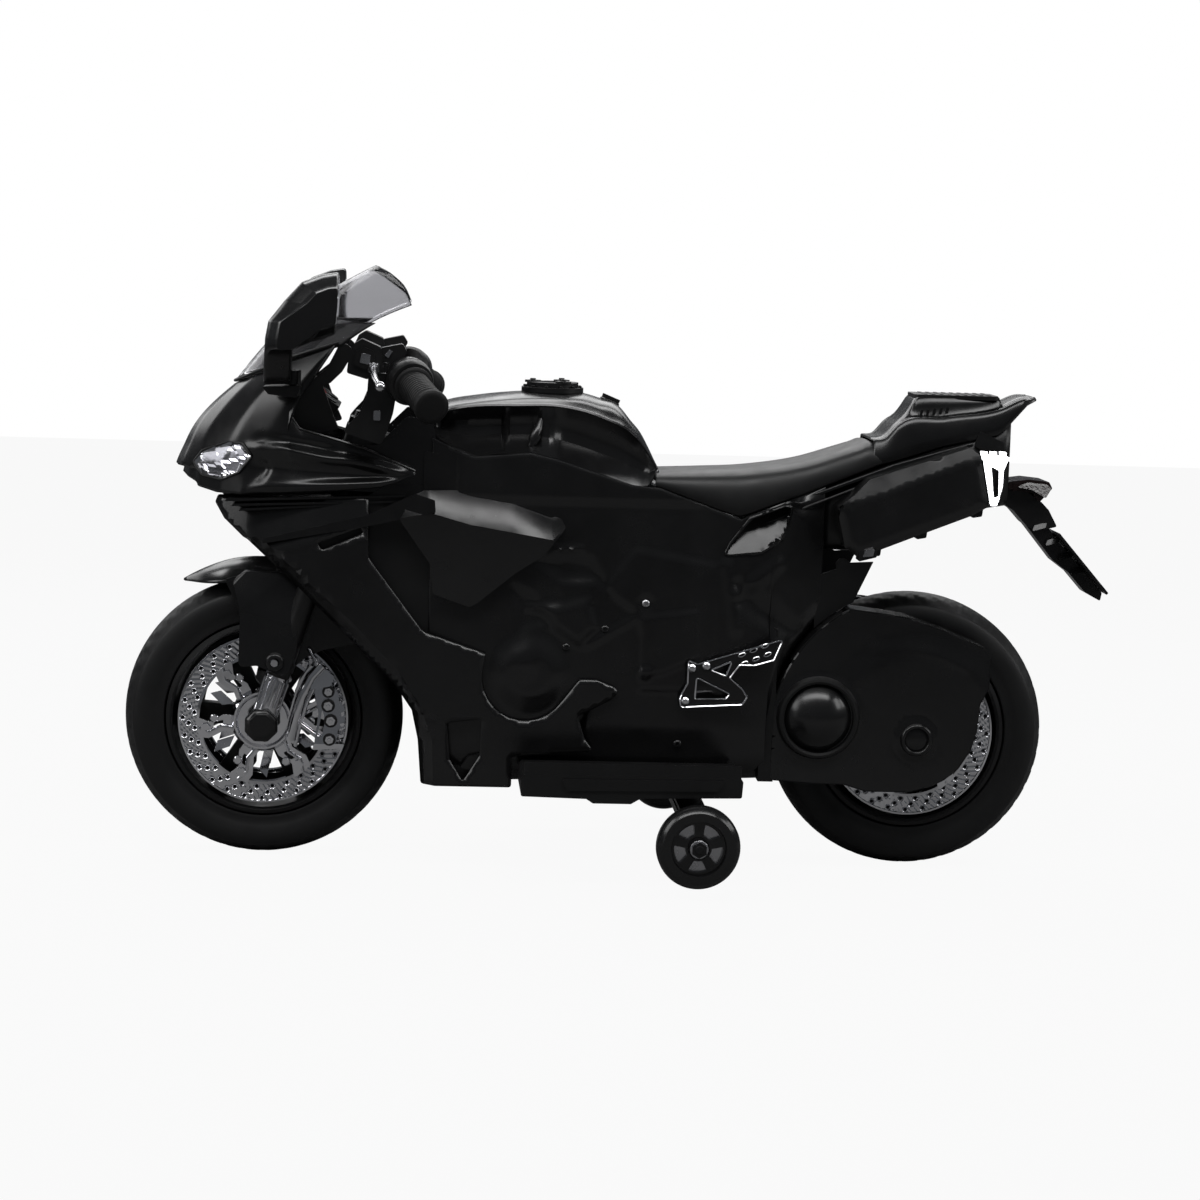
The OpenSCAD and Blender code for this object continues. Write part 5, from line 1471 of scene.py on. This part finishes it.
def footboards():
    """Footboards with a bevelled skirt, raised treads and a rim along the outer edge."""
    side = rounded([(-107, 98), (-40, 96.5), (-33, 92), (6, 92), (16, 98), (120, 100), (121, 117), (118, 121),
                    (-104, 121), (-107, 117)], 2.5)
    top = box_mm("footboards")[1][2]
    low_y, high_y = -BOARD_SIDE, -101.8
    parts = [prism(side, low_y + 2, high_y)]
    parts.append(cut_plate([(-60, 105), (95, 107), (104, 118), (-66, 117)], 3, low_y + 0.2, low_y + 6))
    for k in range(22):
        x = -100 + 10 * k
        parts.append(upright(prism(rectangle(x, x + 6, low_y + 13, high_y - 9, 2), 120, 122)))
    parts.append(upright(prism(rectangle(-105, 119, low_y + 2.4, low_y + 7, 2), 119, top)))
    make("board_trays", both(parts), "footboards", bevel=1.2)


def pedal():
    """Foot pedal with a ribbed tread and its hinge pin."""
    tread = rounded([(-72, 135), (-21, 124.5), (-15, 124.5), (-14, 130.6), (-70, 140)], 1.5)
    parts = [prism(tread, 118.6, 167.4)]
    for k in range(6):
        x = -66 + 8 * k
        z = at(x, (-70, 139.6), (-14, 130.6))
        parts.append(cut_plate([(x, z - 1), (x + 3.6, z - 1.6), (x + 3.4, z + 0.6), (x + 0.3, z + 1)], 0.6,
                               122, 164))
    parts.append(rod((-18, 113, 128), (-18, 173, 128), [(0, 2.4), (60, 2.4)], 20))
    make("pedal_tread", parts, "throttle_pedal", bevel=0.8)


def heel_plates():
    """Heel guards with a window, a notch and six slots, all rimmed in plating, and three bolts."""
    outline = rounded([(68, 230), (78, 226), (167, 254), (158, 232), (138, 226), (122, 226), (112, 212),
                       (126, 200), (131, 192), (126, 184), (62, 180), (60, 190), (68, 206)], 2.2)
    window = rounded([(76, 189), (109, 190), (113, 195), (94, 204), (77, 212)], 2)
    notch = rounded([(91, 220), (114, 230), (108, 214)], 1.6)
    slots = [window, notch]
    for k in range(3):
        for r in range(2):
            x, z = 124 + 12 * k + 3 * r, 237 + 5 * k - 9 * r
            slots.append([(x + 3.6 * math.cos(a), z + 1.8 * math.sin(a) + 1.3 * math.cos(a))
                          for a in (2 * math.pi * i / 14 for i in range(14))])
    plate = prism(outline, -97.5, -102.4, slots)
    rims = []
    for loop in [outline] + slots:
        ring = [(x, -102.2, z) for x, z in loop]
        rims.append(tube(ring + ring[:2], 0.9 if len(loop) > 14 else 0.55, 6))
    bolts = []
    for x, z in ((66, 187), (72, 222), (87, 224.5)):
        bolts.append(revolve([(0, -105.4), (2.6, -105.2), (4, -104.2), (4.2, -102)], (x, 0, z), 20))
        bolts.append(prism(circle((x, z), 1.7, 6), -105.2, -106))
    stand = revolve([(4, -102), (4, -96)], (70, 0, 200), 20)
    make("heel_guards", both([plate, stand]), on="heel_plates", paint="gloss_black", bevel=0.5, sharp=30)
    make("heel_guard_trim", both(rims + bolts), "heel_plates", bevel=0.3, sharp=30)


def bracket():
    """Stabiliser bracket: cross tube, drop legs with a folded flange, axle stubs and nuts."""
    low, high = box_mm("stabiliser_bracket")
    wheel = middle("stabiliser_wheel_left")
    inner_y = box_mm("stabiliser_wheel_left")[1][1]
    cx, cz = wheel[0], wheel[2]
    leg_y = inner_y + 2
    bar_z = high[2] - 16
    cross = upright(prism([(cx - 14, leg_y), (cx + 14, leg_y), (cx + 14, -leg_y), (cx - 14, -leg_y)],
                          bar_z, bar_z + 5))
    lips = [upright(prism([(cx + s * 14 - 1.5, leg_y + 4), (cx + s * 14 + 1.5, leg_y + 4),
                           (cx + s * 14 + 1.5, -leg_y - 4), (cx + s * 14 - 1.5, -leg_y - 4)], bar_z - 7,
                           bar_z + 1))
            for s in (-1, 1)]
    leg = cut_plate([(cx - 14, bar_z + 5), (cx - 14, cz + 4), (cx - 8, cz - 12), (cx + 8, cz - 12),
                     (cx + 14, cz + 4), (cx + 14, bar_z + 5)], 4, leg_y, leg_y + 5)
    pin = rod((cx, leg_y, cz), (cx, low[1], cz), [(0, 5), (abs(low[1] - leg_y) - 6, 5)], 24)
    cap_y = low[1]
    nut = prism(circle((cx, cz), 8.4, 6, 30), cap_y + 5.2, cap_y + 1)
    washer = revolve([(5, cap_y + 4.6), (9.4, cap_y + 4.6), (9.4, cap_y + 5.6), (5, cap_y + 5.6)],
                     (cx, 0, cz), 32, closed=True)
    tip = revolve([(0, cap_y), (4, cap_y + 0.2), (4.8, cap_y + 1.4), (4.8, cap_y + 5)], (cx, 0, cz), 24)
    clamp = [upright(prism(rectangle(cx - 12, cx + 12, y - 10, y + 10, 2), bar_z + 5,
                           high[2])) for y in (-50, 50)]
    make("bracket_frame", [cross] + lips + clamp + both([leg, pin, nut, washer, tip]), "stabiliser_bracket",
         bevel=0.8)


# ---------- handlebar and controls ----------

GRIP_IN = np.array([-232.0, -132, 517])
GRIP_OUT = np.array([-208.0, -206, 494])
BAR_WAY = (GRIP_OUT - GRIP_IN) / np.linalg.norm(GRIP_OUT - GRIP_IN)


def handlebar():
    """Clip-on bars: clamps on the fork, broad risers and the bars themselves."""
    riser = rounded([(-297, 461), (-290, 470), (-281, 480), (-273, 500), (-272, 522), (-240, 522),
                     (-246, 482), (-252, 462), (-258, 449)], 4)
    plates = [prism(riser, -113, -127)]
    clamp = in_steering(rod((LEG_X, -LEG_Y, 314.5), (LEG_X, -LEG_Y, 330), [(0, 15), (15, 15), (16, 13.4)],
                            32))
    bar = rod(GRIP_IN - 12 * BAR_WAY, GRIP_OUT, [(0, 8), (12 + np.linalg.norm(GRIP_OUT - GRIP_IN), 8)], 24)
    arm = rod((-268, -98, 460), (-262, -120, 500), [(0, 11), (42, 10)], 20)
    make("clip_ons", both(plates + [clamp, bar, arm]), "handlebar", bevel=1.4)


def grips():
    """Rubber grips: a flange, rings of ribs and a rounded end."""
    length = np.linalg.norm(GRIP_OUT - GRIP_IN)
    profile = [(18, 8.1), (18, 19.4), (19.2, 20), (21, 20), (22.4, 18.8), (23, 16.6)]
    s = 25.0
    while s < length - 8:
        profile += [(s, 15.8), (s + 0.8, 16.5), (s + 2.6, 16.5), (s + 3.4, 15.8)]
        s += 4.4
    profile += [(length - 3, 16), (length - 2, 17.8), (length + 1.5, 17.9), (length + 3.4, 16.6),
                (length + 4.2, 12)]
    make("grip_sleeves", both([rod(GRIP_IN, GRIP_OUT, profile, 40)]), "grips", sharp=50)


def pods():
    """Switch housings: two-part shells, a fluid reservoir, a small lump and thumb switches."""
    shell = [(-7, 10), (-7, 20), (-4, 23), (2, 24), (4.2, 24), (4.6, 23.2), (5.2, 23.2), (5.6, 24),
             (12, 24), (16, 22.4), (17, 19), (17, 9)]
    body_part = rod(GRIP_IN, GRIP_OUT, shell, 44)
    tank_part = cut_plate([(-294, 522), (-292, 541), (-287, 552), (-279, 557), (-260, 549), (-257, 527),
                           (-273, 516)], 3, -107, -137)
    cap = cut_plate([(-287, 531), (-285, 544), (-277, 549), (-267, 545), (-265, 531), (-275, 526)], 2.5,
                    -136, -140)
    lump = cut_plate([(-260, 548), (-238, 553), (-233, 545), (-240, 532), (-262, 534)], 3, -112, -132)
    neck = cut_plate([(-266, 526), (-258, 526), (-256, 540), (-266, 542)], 2, -112, -134)
    make("pod_shells", both([body_part, tank_part, cap, lump, neck]), "switch_pods", bevel=1.2)
    face = cut_plate([(-281, 533), (-279, 543), (-270, 541), (-271, 531)], 1.2, -139.4, -141)
    bolt = cut_plate([(-266, 474), (-259, 474), (-259, 484), (-266, 484)], 1.2, -126, -128.5)
    nib = cut_plate([(-256, 541), (-251, 547), (-248, 545), (-252, 538)], 1, -131, -134)
    make("pod_badges", both([face, nib, bolt]), on="switch_pods", paint="steel", bevel=0.4)
    low, high = box_mm("horn_button")
    c = middle("horn_button")
    deep = high[0] - low[0]
    shape = [(0.2, 5), (deep - 2.4, 5), (deep - 0.6, 4.2), (deep, 2.4)]
    make("horn_cap", [rod((low[0], *c[1:]), (high[0], *c[1:]), shape, 32)], "horn_button", bevel=0.2)


def levers():
    """Hand levers: a pivot eye, a tapering blade and a ball end."""
    for side, turn in SIDES:
        a = np.array([-267.0, -140, 528])
        b = a + (8, -52, -16)
        path = [a + (b - a) * t + np.array([-2.2, 0, 0]) * math.sin(math.pi * t) for t in np.linspace(0, 1,
                                                                                                      14)]
        radii = [4.6, 4.4, 4, 3.7, 3.5, 3.4, 3.3, 3.2, 3.2, 3.1, 3.1, 3.1, 3.1, 3.1]
        ball = [(5.4 - 5.4 * math.cos(t), max(0.3, 5.4 * math.sin(t))) for t in np.linspace(0.2, math.pi, 12)]
        way = (b - a) / np.linalg.norm(b - a)
        parts = [tube(path, radii, 18), rod(b - 5.4 * way, b + way, ball, 24),
                 rod(a - (0, 0, 5), a + (0, 0, 5), [(0, 5), (0.8, 5.9), (9.2, 5.9), (10, 5)], 28),
                 rod(a - (0, 0, 5.4), a + (0, 0, 5.4), [(0, 2), (10.8, 2)], 6)]
        make("brake_lever_" + side + "_blade", [turn(p) for p in parts], "brake_lever_" + side, bevel=0.4)


# ---------- stage, light and camera ----------

def stage():
    """Pale studio floor, level with the wheels."""
    floor = bpy.data.meshes.new("studio_floor")
    half = 6.0
    floor.from_pydata([(-half, -half, 0), (half, -half, 0), (half, half, 0), (-half, half, 0)], [],
                      [(0, 1, 2, 3)])
    slab = bpy.data.objects.new("studio_floor", floor)
    bpy.context.scene.collection.objects.link(slab)
    white = bpy.data.materials.new("studio_floor")
    white.use_nodes = True
    nodes, links = white.node_tree.nodes, white.node_tree.links
    nodes.clear()
    ray = nodes.new("ShaderNodeLightPath")
    paper, glow = nodes.new("ShaderNodeBsdfDiffuse"), nodes.new("ShaderNodeEmission")
    paper.inputs["Color"].default_value = (0.2, 0.2, 0.2, 1)
    glow.inputs["Strength"].default_value = 1.02
    share = nodes.new("ShaderNodeMath")
    share.operation = "MULTIPLY"
    share.inputs[1].default_value = 0.92
    links.new(ray.outputs["Is Camera Ray"], share.inputs[0])
    pick = nodes.new("ShaderNodeMixShader")
    links.new(share.outputs[0], pick.inputs["Fac"])
    links.new(paper.outputs[0], pick.inputs[1])
    links.new(glow.outputs[0], pick.inputs[2])
    out = nodes.new("ShaderNodeOutputMaterial")
    links.new(pick.outputs[0], out.inputs["Surface"])
    floor.materials.append(white)
    slab.location.z = -0.0005


def world():
    """White to the camera and through clear parts, dim to everything that reflects it."""
    sky = bpy.data.worlds.new("studio")
    bpy.context.scene.world = sky
    sky.use_nodes = True
    nodes, links = sky.node_tree.nodes, sky.node_tree.links
    nodes.clear()
    ray = nodes.new("ShaderNodeLightPath")
    either = nodes.new("ShaderNodeMath")
    either.operation = "MAXIMUM"
    links.new(ray.outputs["Is Camera Ray"], either.inputs[0])
    links.new(ray.outputs["Is Transmission Ray"], either.inputs[1])
    dim, white = nodes.new("ShaderNodeBackground"), nodes.new("ShaderNodeBackground")
    dim.inputs["Color"].default_value = (0.9, 0.94, 1, 1)
    dim.inputs["Strength"].default_value = 0.09
    white.inputs["Color"].default_value = (1, 1, 1, 1)
    white.inputs["Strength"].default_value = 1.0
    pick = nodes.new("ShaderNodeMixShader")
    links.new(either.outputs[0], pick.inputs["Fac"])
    links.new(dim.outputs[0], pick.inputs[1])
    links.new(white.outputs[0], pick.inputs[2])
    out = nodes.new("ShaderNodeOutputWorld")
    links.new(pick.outputs[0], out.inputs["Surface"])


def softbox(name, place, aim, width, height, watts):
    """One rectangular light that the camera doesn't see."""
    lamp = bpy.data.lights.new(name, "AREA")
    lamp.shape = "RECTANGLE"
    lamp.size, lamp.size_y = width, height
    lamp.energy = watts
    holder = bpy.data.objects.new(name, lamp)
    holder.location = place
    holder.visible_camera = False
    holder.rotation_euler = (Vector(aim) - Vector(place)).to_track_quat("-Z", "Y").to_euler()
    bpy.context.scene.collection.objects.link(holder)


# name: place, aim, width, height, watts
SOFTBOXES = {"overhead": ((0.0, -0.95, 1.75), (0, 0, 0.35), 2.4, 0.42, 20),
             "front_left": ((-2.0, -0.7, 1.4), (-0.3, 0, 0.4), 0.9, 1.3, 13),
             "rear_left": ((1.9, -0.8, 1.2), (0.2, 0, 0.3), 0.5, 0.9, 5),
             "far_side": ((0.0, 2.0, 1.4), (0, 0, 0.4), 2.4, 0.7, 12),
             "right_overhead": ((0.0, 0.95, 1.75), (0, 0, 0.35), 2.4, 0.42, 16),
             "behind": ((2.6, 0.0, 1.3), (0.3, 0, 0.4), 1.2, 0.8, 8),
             "far_front": ((-1.9, 2.0, 1.3), (-0.4, 0, 0.45), 1.4, 0.9, 7),
             "front_strip": ((-2.2, -1.2, 0.5), (-0.35, 0, 0.2), 0.25, 1.4, 0.7)}


def camera():
    """Long lens, a little above the machine and nearly square to its left side."""
    turn, rise, roll = (math.radians(a) for a in (-3.7188, 7.0182, 1.7931))
    distance = 3.2
    target = Vector((-0.0201, 0, 0.27887))
    back = Vector((math.sin(turn) * math.cos(rise), -math.cos(turn) * math.cos(rise), math.sin(rise)))
    right = (-back).cross(Vector((0, 0, 1))).normalized()
    up = right.cross(-back)
    level = right * math.cos(roll) + up * math.sin(roll)
    upward = up * math.cos(roll) - right * math.sin(roll)
    lens = bpy.data.cameras.new("camera")
    lens.sensor_width = 36
    lens.lens = 89.12
    lens.clip_end = 50
    holder = bpy.data.objects.new("camera", lens)
    holder.matrix_world = Matrix.Translation(target + back * distance) @ Matrix(
        (level, upward, back)).transposed().to_4x4()
    bpy.context.scene.collection.objects.link(holder)
    bpy.context.scene.camera = holder


# ---------- everything ----------

def chassis():
    """Everything fixed to the body below the nose."""
    main_body()
    side_panels()
    tank()
    tank_cap()
    latch()
    seat()
    tail()
    tail_under()
    plate_holder()
    rear_lights()
    exhausts()
    exhaust_tips()
    rear_covers()
    rear_axle()
    footboards()
    heel_plates()
    bracket()
    winglets()
    headstock_covers()
    screws()
    for side, turn in SIDES:
        fairing("fairing_" + side, turn)


def cockpit():
    """Nose, screen, instruments, mirrors, bars and the controls."""
    headlights(nose())
    windscreen()
    dashboard()
    for side, turn in SIDES:
        mirror("mirror_" + side, turn)
    handlebar()
    grips()
    pods()
    levers()
    pedal()


make_materials()
camera()
world()
for title, values in SOFTBOXES.items():
    softbox(title, *values)
stage()
wheels()
front_end()
chassis()
cockpit()
keep("steering_head", "battery", "motor", "gearbox", "controller", "wiring", "wheel_gear", "idler_gear",
     "motor_pinion")
bpy.context.scene.view_settings.view_transform = "Standard"
